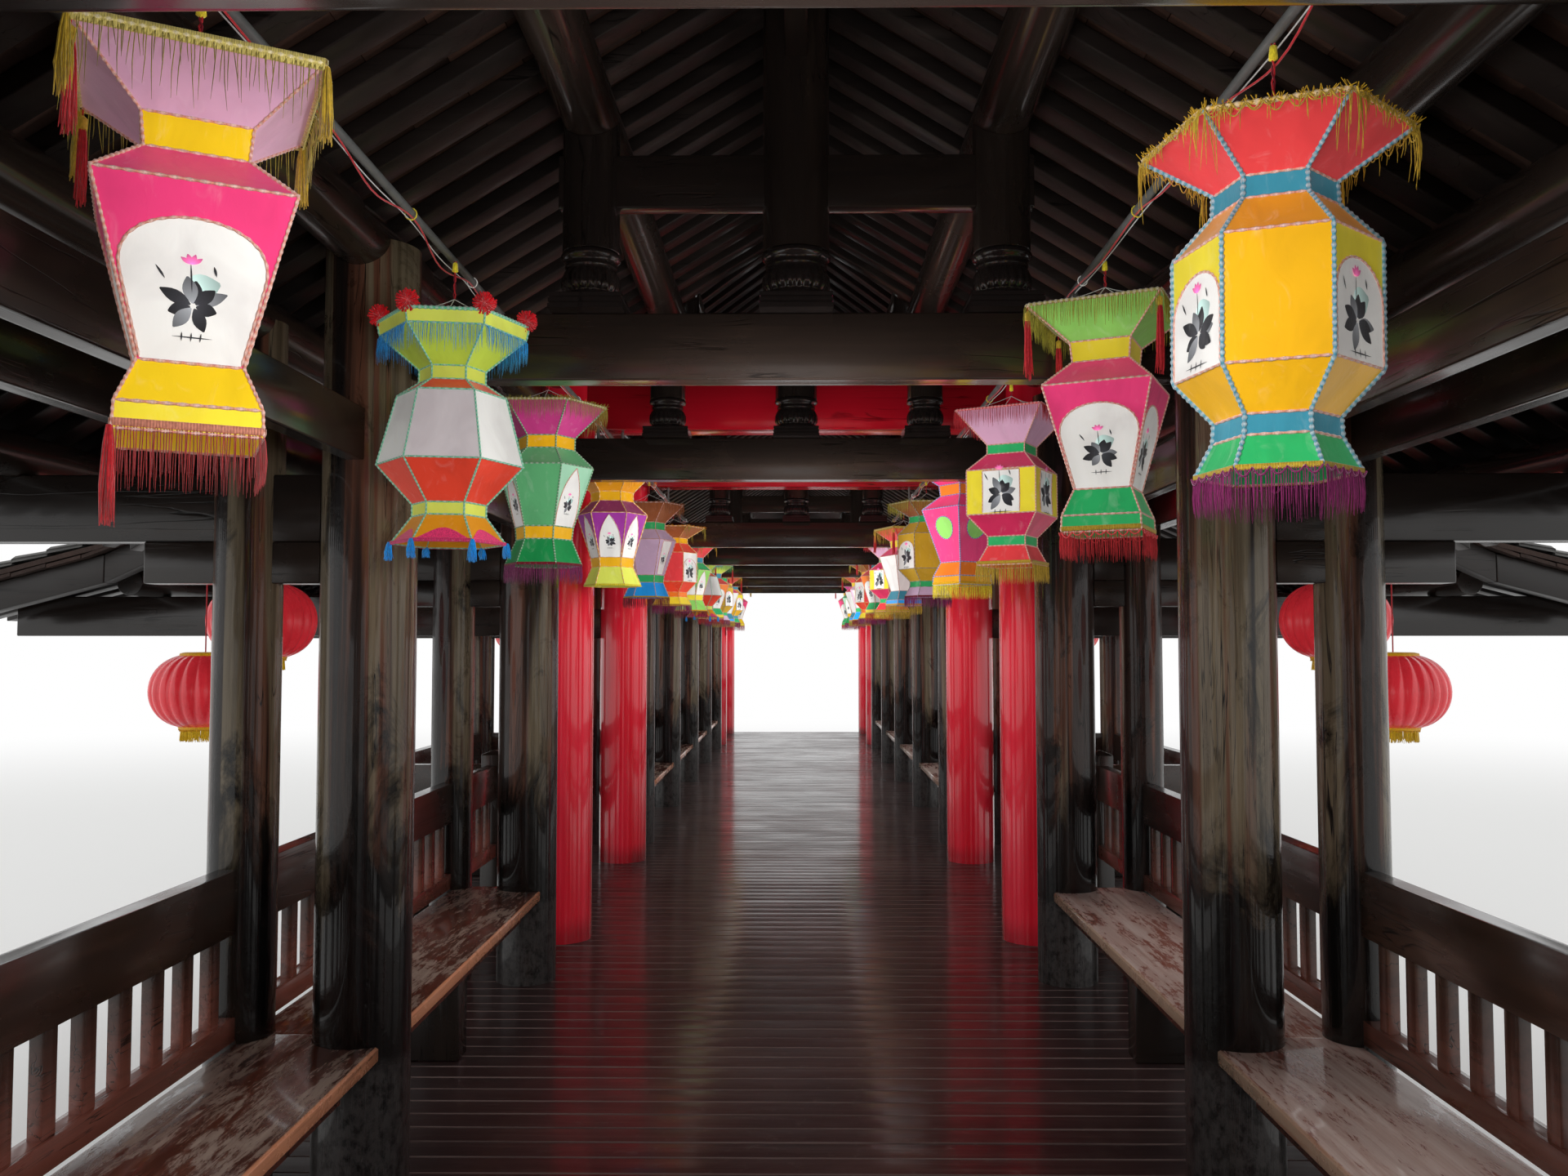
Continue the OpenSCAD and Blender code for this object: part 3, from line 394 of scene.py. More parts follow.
def floor_finish(name):
    """Oxblood floor paint on the boards: worn brown in the grain, darker towards the sides, scuffed
    and dusty, with a painted highlight along the board edges, and a gloss that is thinner in
    patches and on some boards."""
    f = Finish(name)
    member = f.attribute("member")
    off_middle = f.parts(f.object)[0].math("ABSOLUTE")
    fibre = f.noise(f.place((1.1, 42.0, 42.0), member), 1.0, 5.0, 0.65, 0.3)
    cloud = f.noise(f.place((1.1, 1.1, 1.0)), 1.0, 5.0, 0.6)
    smear = f.noise(f.place((1.6, 7.0, 1.0), member), 1.0, 4.0, 0.6, 0.5)
    speck = f.noise(f.place((22.0, 22.0, 22.0)), 1.0, 4.0, 0.7)
    colour = f.mix(cloud.steps(0.35, 0.7), (0.024, 0.011, 0.012), (0.062, 0.031, 0.029))
    colour = f.mix(member * 0.5, colour, (0.050, 0.020, 0.019))
    colour = f.mix(fibre.steps(0.45, 0.8) * 0.45, colour, (0.110, 0.066, 0.058))
    # Darker towards the sides, by the benches.
    colour = f.mix(off_middle.steps(0.7, 1.3) * 0.6, colour, (0.014, 0.009, 0.009))
    scuff = speck.steps(0.55, 0.75) * off_middle.steps(0.2, 1.1, 1.0, 0.25)
    colour = f.mix(scuff * 0.4, colour, (0.17, 0.130, 0.120))
    # Painted highlight along the top edges of the boards, carried by the value rim.
    rim = f.attribute("rim") * fibre.steps(0.25, 0.6, 0.2, 0.75)
    colour = f.mix(rim, colour, (0.20, 0.145, 0.135))
    rough = smear.steps(0.3, 0.75, 0.34, 0.50) + scuff * 0.14 + (fibre - 0.5) * 0.10
    gloss = (cloud * 0.6 + smear * 0.4).steps(0.40, 0.62, 1.0, 0.50) * (1.0 - member * 0.25)
    bump = f.bump(fibre * 0.8 + smear * 2.6 + speck * 0.5, 0.2, 0.003)
    return f.end(colour, rough, bump, Specular_IOR_Level=0.14, Coat_Weight=gloss,
                 Coat_Roughness=0.125, Coat_IOR=1.17)


def bench_finish(name):
    """Bench boards: red-brown varnish rubbed through to pale pinkish wood where people sit, most
    of it on the right, and raw wood along the front edge."""
    f = Finish(name)
    member = f.attribute("member")
    right = f.parts(f.object)[0].steps(-0.5, 0.5)
    fibre = f.noise(f.place((40.0, 1.2, 40.0), member), 1.0, 6.0, 0.65, 0.4)
    patch = f.noise(f.place((8.0, 2.2, 3.0), member), 1.0, 6.0, 0.72, 0.7)
    flake = f.noise(f.place((60.0, 9.0, 20.0), member), 1.0, 6.0, 0.75, 0.4)
    bare = (patch * 0.58 + flake * 0.42 + right * 0.045).steps(0.46, 0.575)
    line, broad = fibre.steps(0.3, 0.75), fibre.steps(0.3, 0.7)
    varnish = f.mix(line, (0.085, 0.024, 0.016), (0.19, 0.060, 0.036))
    varnish = f.mix(patch.steps(0.40, 0.62) * 0.35, varnish, (0.060, 0.026, 0.020))
    varnish = f.mix(right, varnish, f.mix(line, (0.33, 0.105, 0.075), (0.46, 0.20, 0.15)))
    wood = f.mix(broad, (0.32, 0.21, 0.16), (0.54, 0.42, 0.35))
    wood = f.mix(right, wood, f.mix(broad, (0.60, 0.41, 0.35), (0.82, 0.67, 0.61)))
    colour = f.mix(bare * 0.9, varnish, wood)
    edge = (f.attribute("front") * 1.3 - patch * 0.5).steps(0.45, 0.8)
    raw = f.mix(right, (0.66, 0.28, 0.15), (0.34, 0.23, 0.16))
    colour = f.mix(edge, colour, f.mix(fibre.steps(0.2, 0.5), (0.26, 0.095, 0.050), raw))
    rough = bare.steps(0.0, 1.0, 0.17, 0.40) + (fibre - 0.5) * 0.1
    height = fibre * 0.6 - bare * 0.6 + patch * 0.6 + flake * 0.3
    return f.end(colour, rough, f.bump(height, 0.35, 0.0025), Coat_Weight=0.3, Coat_Roughness=0.1)


def tile_finish(name, dark, light, dust=0.3):
    """Unglazed clay: each tile of its own tone, pitted, with dust and dark weathering."""
    f = Finish(name)
    member = f.attribute("member")
    pit = f.noise(f.place((60.0, 60.0, 60.0), member), 1.0, 4.0, 0.7)
    cloud = f.noise(f.place((4.0, 4.0, 4.0), member), 1.0, 4.0, 0.6)
    colour = f.mix((member * 0.6 + cloud.steps(0.3, 0.7) * 0.5).clip(), dark, light)
    colour = f.mix(pit.steps(0.6, 0.8) * dust, colour, tuple(min(1.0, 1.9 * c) for c in light))
    return f.end(colour, pit.steps(0.2, 0.8, 0.72, 0.95), f.bump(pit + cloud * 1.5, 0.4, 0.003))


def stone_finish(name):
    """Dressed stone in courses: joints drawn by height and length, pitted faces, and dark tide
    marks near the water."""
    f = Finish(name)
    x, y, z = f.parts(f.object)
    course_high, stone_long = 0.2, 0.62
    course = z / course_high
    level = course.math("FLOOR")
    stone = (x + y * 0.5) / stone_long + level.math("MODULO", 2.0) * 0.5
    side = (stone - stone.math("FLOOR") - 0.5).math("ABSOLUTE").steps(0.485, 0.496)
    bed = (course - level - 0.5).math("ABSOLUTE").steps(0.46, 0.485)
    joint = side.math("MAXIMUM", bed)
    each = f.node("ShaderNodeTexWhiteNoise", {"noise_dimensions": "2D"},
                  f.node("ShaderNodeCombineXYZ", {}, stone.math("FLOOR"), level, 0.0))
    pit = f.noise(f.place((30.0, 30.0, 30.0)), 1.0, 6.0, 0.7)
    cloud = f.noise(f.place((2.0, 2.0, 2.0)), 1.0, 4.0, 0.6)
    colour = f.mix(each * 0.5 + cloud * 0.5, (0.20, 0.19, 0.175), (0.42, 0.40, 0.37))
    colour = f.mix(pit.steps(0.5, 0.8) * 0.4, colour, (0.5, 0.48, 0.44))
    tide = (z + (cloud - 0.5) * 0.3).steps(0.1, 0.45, 0.65, 0.0)
    colour = f.mix(tide, colour, (0.07, 0.075, 0.055))
    colour = f.mix(joint * 0.8, colour, (0.10, 0.095, 0.085))
    bump = f.bump(pit * 0.6 + cloud - joint * 1.5, 0.6, 0.008)
    return f.end(colour, pit.steps(0.2, 0.8, 0.75, 0.95), bump)


def silk_finish(name):
    """Dyed silk: the value "tint" gives its colour. Light through the cloth adds a little of the
    same colour, and slack folds and fine creases move the shading, with painted shade in the
    hollows of the folds and a faint painted sheen on the creases."""
    f = Finish(name)
    tint = f.attribute("tint", "Color")
    weave = f.noise(f.place((900.0, 900.0, 160.0)), 1.0, 1.0, 0.5)
    fold = f.noise(f.place((8.0, 8.0, 5.0)), 1.0, 3.0, 0.5, 0.8)
    crease = f.noise(f.place((26.0, 26.0, 11.0)), 1.0, 4.0, 0.55, 1.2)
    # Painted shade in the hollows of the folds, and a faint painted sheen on the creases.
    colour = f.mix(fold.steps(0.3, 0.62, 0.22, 0.0), tint, (0.42, 0.36, 0.38), "MULTIPLY")
    colour = f.mix(crease.steps(0.55, 0.8) * 0.10, colour, (1.0, 0.97, 0.95))
    bump = f.bump(fold * 3.0 + crease * 0.9 + weave * 0.03, 0.35, 0.003)
    return f.end(colour, weave.steps(0.3, 0.7, 0.36, 0.46), bump, Sheen_Weight=0.15, Sheen_Roughness=0.4,
                 Emission_Color=colour, Emission_Strength=0.16)


def satin_finish(name):
    """Red satin on ribs: glossy, with small creases that run down between the ribs, and a painted
    glow: it gives off a little light in its own colour.
    """
    f = Finish(name)
    crease = f.noise(f.place((40.0, 40.0, 8.0)), 1.0, 4.0, 0.55, 0.6)
    cloud = f.noise(f.place((6.0, 6.0, 6.0)), 1.0, 2.0, 0.5)
    tint = f.attribute("tint", "Color")
    colour = f.mix(cloud.steps(0.35, 0.7) * 0.5, tint, (0.62, 0.45, 0.45), "MULTIPLY")
    # Painted glow: a little light given off in the satin's own colour.
    return f.end(colour, crease.steps(0.3, 0.7, 0.22, 0.34), f.bump(crease + cloud, 0.35, 0.002),
                 Coat_Weight=0.5, Coat_Roughness=0.10, Emission_Color=colour, Emission_Strength=0.20)


def thread_finish(name):
    """Twisted thread for fringes, tassels and piping, in the colour of the value "tint", with
    painted shade in the grooves of the twist and a painted glow in its own colour.
    """
    f = Finish(name)
    tint = f.attribute("tint", "Color")
    twist = f.noise(f.place((300.0, 300.0, 120.0)), 1.0, 2.0, 0.5)
    # Painted shade: darker in the grooves of the twist.
    colour = f.mix(twist.steps(0.35, 0.65, 0.45, 0.0), tint, (0.35, 0.30, 0.28), "MULTIPLY")
    # Painted glow: a little light given off in the thread's own colour.
    return f.end(colour, 0.55, f.bump(twist, 0.4, 0.001), Sheen_Weight=0.3, Sheen_Roughness=0.4,
                 Emission_Color=colour, Emission_Strength=0.14)


def plain_paint(name, colour, rough=0.45):
    """Brushed paint on metal, with faint dirt."""
    f = Finish(name)
    dirt = f.noise(f.place((14.0, 14.0, 14.0)), 1.0, 4.0, 0.65)
    shade = f.mix(dirt.steps(0.45, 0.75) * 0.5, colour, tuple(0.45 * c for c in colour))
    return f.end(shade, dirt.steps(0.3, 0.7, rough * 0.8, rough * 1.3), f.bump(dirt, 0.2, 0.001))


# Camera, lights and floor

def aim(thing, place, target):
    """Puts a lamp or camera at a place and turns it to face a target."""
    thing.location = place
    way = np.subtract(target, place)
    thing.rotation_euler = (math.atan2(math.hypot(way[0], way[1]), -way[2]), 0.0,
                            math.atan2(way[1], way[0]) - math.pi / 2)


def make_camera():
    """The photograph's view: an eye 1.65 m above the deck on the middle line, looking along +Y,
    0.58 degrees to the left and 2.67 degrees up."""
    data = bpy.data.cameras.new("eye")
    data.sensor_width, data.lens, data.clip_end = 36.0, 27.94, 400.0
    eye = bpy.data.objects.new("eye", data)
    eye.location = (0.0, -8.2, DECK + 1.65)
    eye.rotation_euler = (math.radians(90 + 2.67), 0.0, math.radians(0.58))
    bpy.context.scene.collection.objects.link(eye)
    bpy.context.scene.camera = eye


def area_light(name, place, target, wide, high, watts):
    """A soft lamp that neither the camera nor a reflection shows."""
    data = bpy.data.lights.new(name, "AREA")
    data.shape, data.size, data.size_y, data.energy = "RECTANGLE", wide, high, watts
    lamp = bpy.data.objects.new(name, data)
    aim(lamp, place, target)
    lamp.visible_camera = lamp.visible_glossy = lamp.visible_transmission = False
    bpy.context.scene.collection.objects.link(lamp)


def white_world():
    """A soft white world, which the camera, reflections and clear things see at full white."""
    world = bpy.data.worlds.new("studio")
    world.use_nodes = True
    bpy.context.scene.world = world
    tree = world.node_tree
    tree.nodes.clear()
    rays = tree.nodes.new("ShaderNodeLightPath")
    seen = rays.outputs["Is Camera Ray"]
    for kind in ("Is Glossy Ray", "Is Transmission Ray"):
        either = tree.nodes.new("ShaderNodeMath")
        either.operation = "MAXIMUM"
        tree.links.new(seen, either.inputs[0])
        tree.links.new(rays.outputs[kind], either.inputs[1])
        seen = either.outputs[0]
    mix = tree.nodes.new("ShaderNodeMixShader")
    tree.links.new(seen, mix.inputs[0])
    for place, strength in ((1, 0.9), (2, 1.0)):
        shade = tree.nodes.new("ShaderNodeBackground")
        shade.inputs[0].default_value = (1.0, 1.0, 1.0, 1.0)
        shade.inputs[1].default_value = strength
        tree.links.new(shade.outputs[0], mix.inputs[place])
    out = tree.nodes.new("ShaderNodeOutputWorld")
    tree.links.new(mix.outputs[0], out.inputs[0])


def studio_floor():
    """A pale floor. Seen by the camera, it passes into the white of the world far away."""
    half = 120.0
    mesh = bpy.data.meshes.new("studio_floor")
    mesh.from_pydata([(-half, -half, 0), (half, -half, 0), (half, half, 0), (-half, half, 0)],
                     [], [(0, 1, 2, 3)])
    floor = bpy.data.objects.new("studio_floor", mesh)
    bpy.context.scene.collection.objects.link(floor)
    f = Finish("pale_floor")
    mesh.materials.append(f.end((0.86, 0.86, 0.85), 0.9))
    far = f.node("ShaderNodeVectorMath", {"operation": "LENGTH"}, f.object, out="Value")
    far = far.steps(17.0, 42.0) * f.node("ShaderNodeLightPath", {}, out="Is Camera Ray")
    out = next(n for n in f.tree.nodes if n.type == "OUTPUT_MATERIAL")
    pale = out.inputs[0].links[0].from_socket
    glow = f.tree.nodes.new("ShaderNodeEmission")
    mix = f.tree.nodes.new("ShaderNodeMixShader")
    f.put(mix.inputs[0], far)
    f.tree.links.new(pale, mix.inputs[1])
    f.tree.links.new(glow.outputs[0], mix.inputs[2])
    f.tree.links.new(mix.outputs[0], out.inputs[0])


def light_scene():
    """A white world, a pale floor, and soft lamps under the roofs, two in each bay."""
    white_world()
    for bay in range(13):
        y = (bay - 6) * BAY
        for way in (-1, 1):
            area_light(f"walk_fill_{bay}_{way + 1}", (0.0, y, DECK + 2.1), (0.0, y + way, DECK + 2.1),
                       0.7, 0.5, 16.0)
    studio_floor()


# Timber frame

def make_columns(finish, red):
    """Round columns as (angle, height) surfaces. The radius is half the diameter, plus slow
    waves round and along the trunk with random phases, a few thousandths of it deep."""
    rng = np.random.default_rng(11)
    dark, bright = (finish, "dark_lacquer"), (red, "red_lacquer")
    gallery, pavilion = (FRAMES, GALLERY_LINE), (RED_FRAMES, PAVILION_LINE)
    sets = [("inner_trunks", "inner_columns", dark, 1.34, 0.29, gallery),
            ("outer_trunks", "outer_columns", dark, 1.72, 0.205, gallery),
            ("pavilion_trunks", "pavilion_columns", dark, 2.45, 0.205, pavilion),
            ("red_trunks", "red_columns", bright, 1.34, 0.36, pavilion)]
    sides, levels = 40, 32
    angle = np.arange(sides) * TAU / sides
    quads = grid_quads(levels, sides, wrap_cols=True)
    waves = ((1, 0.7), (2, 1.1), (3, 0.5), (5, 1.9), (8, 0.9))
    for name, node, (look, slot), x, diameter, (frames, line) in sets:
        height = np.linspace(DECK - 0.02, DECK + line_height(line, x) - 0.10, levels)[:, None]
        heap = Heap()
        for side in (-1, 1):
            for y in frames:
                wave = np.zeros((levels, sides))
                for round_by, up_by in waves:
                    swell = np.cos(round_by * angle + up_by * height + rng.uniform(0, TAU))
                    wave += swell * rng.uniform(0.2, 1.0) / round_by
                r = diameter / 2 * (1 + 0.005 * wave)
                points = np.stack([side * x + r * np.cos(angle), y + r * np.sin(angle),
                                   np.broadcast_to(height, r.shape)], -1)
                heap.add(points, quads, member=rng.random())
        heap.piece(name, look, slot, [node], smooth=True)


def line_height(line, x):
    """Height of a roof line above the deck at a distance from the middle."""
    return float(np.interp(x, [p[0] for p in line], [p[1] for p in line]))


def make_frame_timbers():
    """Rounds the edges of all the squared timbers and gives each its lacquer."""
    near_black, brown = (0.012, 0.009, 0.008), (0.075, 0.045, 0.030)
    raw_dark, raw_light = (0.09, 0.055, 0.035), (0.26, 0.18, 0.12)
    across = timber_finish("beam_lacquer_across", "X", near_black, brown, 0.25, 0.35)
    along = timber_finish("beam_lacquer_along", "Y", near_black, brown, 0.27, 0.45)
    upright = timber_finish("post_lacquer", "Z", near_black, (0.05, 0.032, 0.022), 0.24, 0.3)
    rafter = timber_finish("rafter_lacquer", "X", (0.014, 0.011, 0.010), (0.042, 0.032, 0.028),
                           0.42, 0.7, 0.6, 0.05)
    rail = timber_finish("railing_lacquer", "Y", (0.020, 0.012, 0.009), (0.13, 0.06, 0.035),
                         0.26, 0.5, foot=(0.23, 0.072, 0.050))
    red_along = timber_finish("red_board_lacquer", "Y", (0.26, 0.004, 0.010),
                              (0.42, 0.008, 0.016), 0.2, 0.6)
    red_across = timber_finish("red_beam_lacquer", "X", (0.30, 0.004, 0.011),
                               (0.46, 0.009, 0.018), 0.18, 0.6)
    raw_along = timber_finish("deck_timber_along", "Y", raw_dark, raw_light, 0.6, 0.8, 0.8, 0.0)
    raw_across = timber_finish("deck_timber_across", "X", raw_dark, raw_light, 0.6, 0.8, 0.8, 0.0)
    plan = [("tie_beams", 0.006, across, "beam_lacquer"),
            ("collar_beams", 0.005, across, "beam_lacquer"),
            ("eave_beams", 0.006, across, "beam_lacquer"),
            ("bracket_boards", 0.005, across, "beam_lacquer"),
            ("inner_tie_boards", 0.005, along, "beam_lacquer"),
            ("outer_tie_boards", 0.005, along, "beam_lacquer"),
            ("ridge_tie_boards", 0.005, along, "beam_lacquer"),
            ("gallery_rafters", 0.005, rafter, "beam_lacquer"),
            ("pavilion_rafters", 0.005, rafter, "beam_lacquer"),
            ("railings", 0.004, rail, "dark_lacquer"),
            ("newel_posts", 0.006, upright, "dark_lacquer"),
            ("bench_bearers", 0.005, upright, "dark_lacquer"),
            ("bench_fascias", 0.004, rail, "bench_timber"),
            ("red_beams", 0.008, red_across, "red_lacquer"),
            ("pavilion_tie_boards", 0.005, red_along, "red_lacquer"),
            ("pavilion_eave_beams", 0.006, across, "beam_lacquer"),
            ("deck_girders", 0.008, raw_along, "deck_timber"),
            ("deck_joists", 0.006, raw_across, "deck_timber")]
    for seed, (node, width, finish, slot) in enumerate(plan, 3):
        softened(node, width, finish, seed=seed)
    for row in ("ridge", "queen", "inner", "outer", "eave", "pavilion"):
        softened(f"{row}_purlins", 0.002, along, turns=1, seed=41)
    for post in ("king", "queen"):
        softened(f"{post}_posts", 0.002, upright, turns=1, seed=41)


def make_lotus_bases(finish):
    """Carved bases under the short posts. Each is a surface of angle a and height z through the
    rings listed here: a foot ring, a drum of petals, a bead and a flared ring. Between the
    petals the drum is cut in by depth (1 - |sin(10 a)|^0.7)."""
    rng = np.random.default_rng(61)
    petals, steps = 20, 5
    a = np.arange(petals * steps) * TAU / (petals * steps)
    cusp = 1 - np.abs(np.sin(petals * a / 2)) ** 0.7
    # Heights and distances from the post's radius in millimetres, and the depth of the cuts
    rings = [(0, -4, 0), (9, -2, 0), (15, -13, 0), (23, -5, 8), (34, 2, 9), (50, 4, 8), (68, 2, 7),
             (86, -6, 4), (95, -14, 0), (101, -8, 0), (107, -8, 0), (112, -14, 0), (124, -3, 0),
             (132, 4.5, 0), (140, 4, 0), (147, -1, 0)]
    quads = grid_quads(len(rings), len(a), wrap_cols=True)
    # Heights of the plinth's mouldings and how far each stands in from its half-width
    half = 115
    mouldings = [(0, 0), (14, 0), (15.5, -4), (18.5, -4), (20, -1.5), (31, -1.5), (32.5, -5),
                 (35.5, -5), (37, -2.5), (49, -2.5), (50, -3.5)]
    square = np.array([(-1, -1), (1, -1), (1, 1), (-1, 1)]) * half / 1000
    last = len(mouldings) * 4
    shut = [[0, 3, 2, 1], [last - 4, last - 3, last - 2, last - 1]]
    shell = np.concatenate([grid_quads(len(mouldings), 4, wrap_cols=True), shut])
    carved, plinths = Heap(), Heap()
    for y in FRAMES + RED_FRAMES:
        foot = DECK + (2.685 if y in FRAMES else 3.15)
        for x, d in ((-0.65, 0.18), (0.0, 0.21), (0.65, 0.18)):
            turned = a + rng.uniform(0, TAU)
            rows = []
            for up, by, deep in rings:
                r = d / 2 + (by - deep * cusp) / 1000
                rows.append(np.stack([x + r * np.cos(turned), y + r * np.sin(turned),
                                      np.full(len(a), foot + 0.05 + up / 1000)], -1))
            member = rng.random()
            carved.add(np.array(rows), quads, member=member)
            rows = [np.column_stack([square * (1 + by / half) + (x, y), np.full(4, foot + up / 1000)])
                    for up, by in mouldings]
            plinths.add(np.array(rows), shell, member=member)
    carved.piece("lotus_carvings", finish, "beam_lacquer", ["lotus_bases"], smooth=True)
    plinths.piece("stepped_plinths", finish, "beam_lacquer", ["post_plinths"])


def make_floor(finish):
    """Floor boards across the walk, 120 mm apart with 7 mm gaps. Each is turned a hair about its
    length and crowned across by 0.7 (1 - s^2) mm, so that the gloss breaks from board to board."""
    rng = np.random.default_rng(5)
    pitch, gap = 0.12, 0.007
    count = round(2 * DECK_END / pitch)
    y = -DECK_END + (np.arange(count) + 0.5) * 2 * DECK_END / count
    wide = np.min(np.abs(y[:, None] - np.array(PAVILIONS)[None]), 1) < PAVILION_DECK
    half = np.where(wide, PAVILION_HALF, GALLERY_HALF) - rng.uniform(0, 0.006, count)
    half_wide = (2 * DECK_END / count - gap) / 2 - rng.uniform(0, 0.001, count)
    # The section of a board: its corners' shares of the half-width, and their heights
    share = np.array([-1, -1, -1, -0.965, -0.92, -0.3, 0.3, 0.92, 0.965, 1, 1, 1])
    top = DECK - 0.0008 - 0.0007 * share ** 2
    top[[2, 9]] -= 0.0026
    top[[1, 10]] = DECK - 0.02
    top[[0, 11]] = DECK - FLOOR_T
    upper = top > DECK - 0.01
    tilt = rng.normal(0, 0.004, count)
    z = top[None] + np.where(upper, share, 0.0) * tilt[:, None] * half_wide[:, None]
    z = z - rng.uniform(0, 0.0008, count)[:, None] * upper
    stations = np.array([-1.0, -0.6, -0.2, 0.2, 0.6, 1.0])
    sag = rng.normal(0, 0.0004, (count, 6))
    x = half[:, None] * stations
    across = (y[:, None] + share * half_wide[:, None])[:, None]
    points = np.stack([np.broadcast_to(x[:, :, None], (count, 6, 12)),
                       np.broadcast_to(across, (count, 6, 12)),
                       z[:, None] + sag[:, :, None] * upper], -1)
    points[..., 2] = np.minimum(points[..., 2], DECK)
    sides = grid_quads(6, 12, wrap_cols=True)[:, ::-1]
    near = np.array([[k, k + 1, 10 - k, 11 - k] for k in range(5)])[:, ::-1]
    quads = np.concatenate([sides, near, near[:, ::-1] + 60])
    # The value rim is a painted highlight on the top edges of each board: full on the edge facing -Y, about
    # half on the edge facing +Y.
    rim = np.tile(np.array([0, 0, 1, 0.9, 0, 0, 0, 0, 0.5, 0.6, 0, 0]), 6 * count)
    heap = Heap()
    heap.add(points, repeated(72, quads, count), member=np.repeat(rng.random(count), 72), rim=rim)
    heap.piece("floor_boards", finish, "floor_timber", ["gallery_decks", "pavilion_decks"])


def make_benches(finish):
    """Bench boards with rounded worn edges. The value "front" is 1 on the front face and edge."""
    piece = softened("bench_boards", 0.004, finish, seed=77)
    mesh = piece.data
    co = np.empty(len(mesh.vertices) * 3, np.float32)
    mesh.vertices.foreach_get("co", co)
    co = co.reshape(-1, 3)
    pavilion = np.abs(co[:, 0]) > 1.95
    edge = np.where(pavilion, 2.07, 1.25)
    front = np.clip(1.0 - (np.abs(co[:, 0]) - edge) / 0.02, 0.0, 1.0)
    data = mesh.attributes.new("front", "FLOAT", "POINT")
    data.data.foreach_set("value", front.astype(np.float32))


# Roofs

def along_slope(line, step):
    """Points (x, z) at even steps of length down a roof line."""
    xs, zs = np.array(line).T
    run = np.concatenate([[0], np.cumsum(np.hypot(np.diff(xs), np.diff(zs)))])
    s = np.arange(0.0, run[-1] + 1e-6, step)
    return np.interp(s, run, xs), np.interp(s, run, zs)


def make_roofs(brick, tile):
    """Each roof has flat bricks laid on its rafters, a bed of mortar, and rows of pan tiles
    with half-round cover tiles over their joints."""
    rng = np.random.default_rng(21)
    galleries = [(-11.7, -1.7), (1.7, 11.7)]
    pavilions = [(c - 1.9, c + 1.9) for c in PAVILIONS]
    for name, line, pitch, runs in (("gallery", GALLERY_LINE, BAY / 11, galleries),
                                    ("pavilion", PAVILION_LINE, 3.6 / 17, pavilions)):
        bricks, bed, pans, covers = Heap(), Heap(), Heap(), Heap()
        for y0, y1 in runs:
            if name == "gallery":
                rows = math.copysign(1, y0) * (2.1 + (np.arange(-4, 60) + 0.5) * pitch)
            else:
                rows = (y0 + y1) / 2 + (np.arange(-10, 10) + 0.5) * pitch
            rows = np.sort(rows[(rows > y0 + pitch * 0.3) & (rows < y1 - pitch * 0.3)])
            for side in (-1, 1):
                roof = RoofSide(line, pitch, rows, (y0, y1), side, rng)
                roof.bricks(bricks)
                roof.bed(bed)
                roof.pans(pans)
                roof.covers(covers)
        node = f"{name}_roofs"
        bricks.piece(f"{name}_roof_bricks", brick, "roof_tile", [node])
        bed.piece(f"{name}_roof_bed", brick, "roof_tile", [node])
        pans.piece(f"{name}_pan_tiles", tile, "roof_tile", [node])
        covers.piece(f"{name}_cover_tiles", tile, "roof_tile", [node])


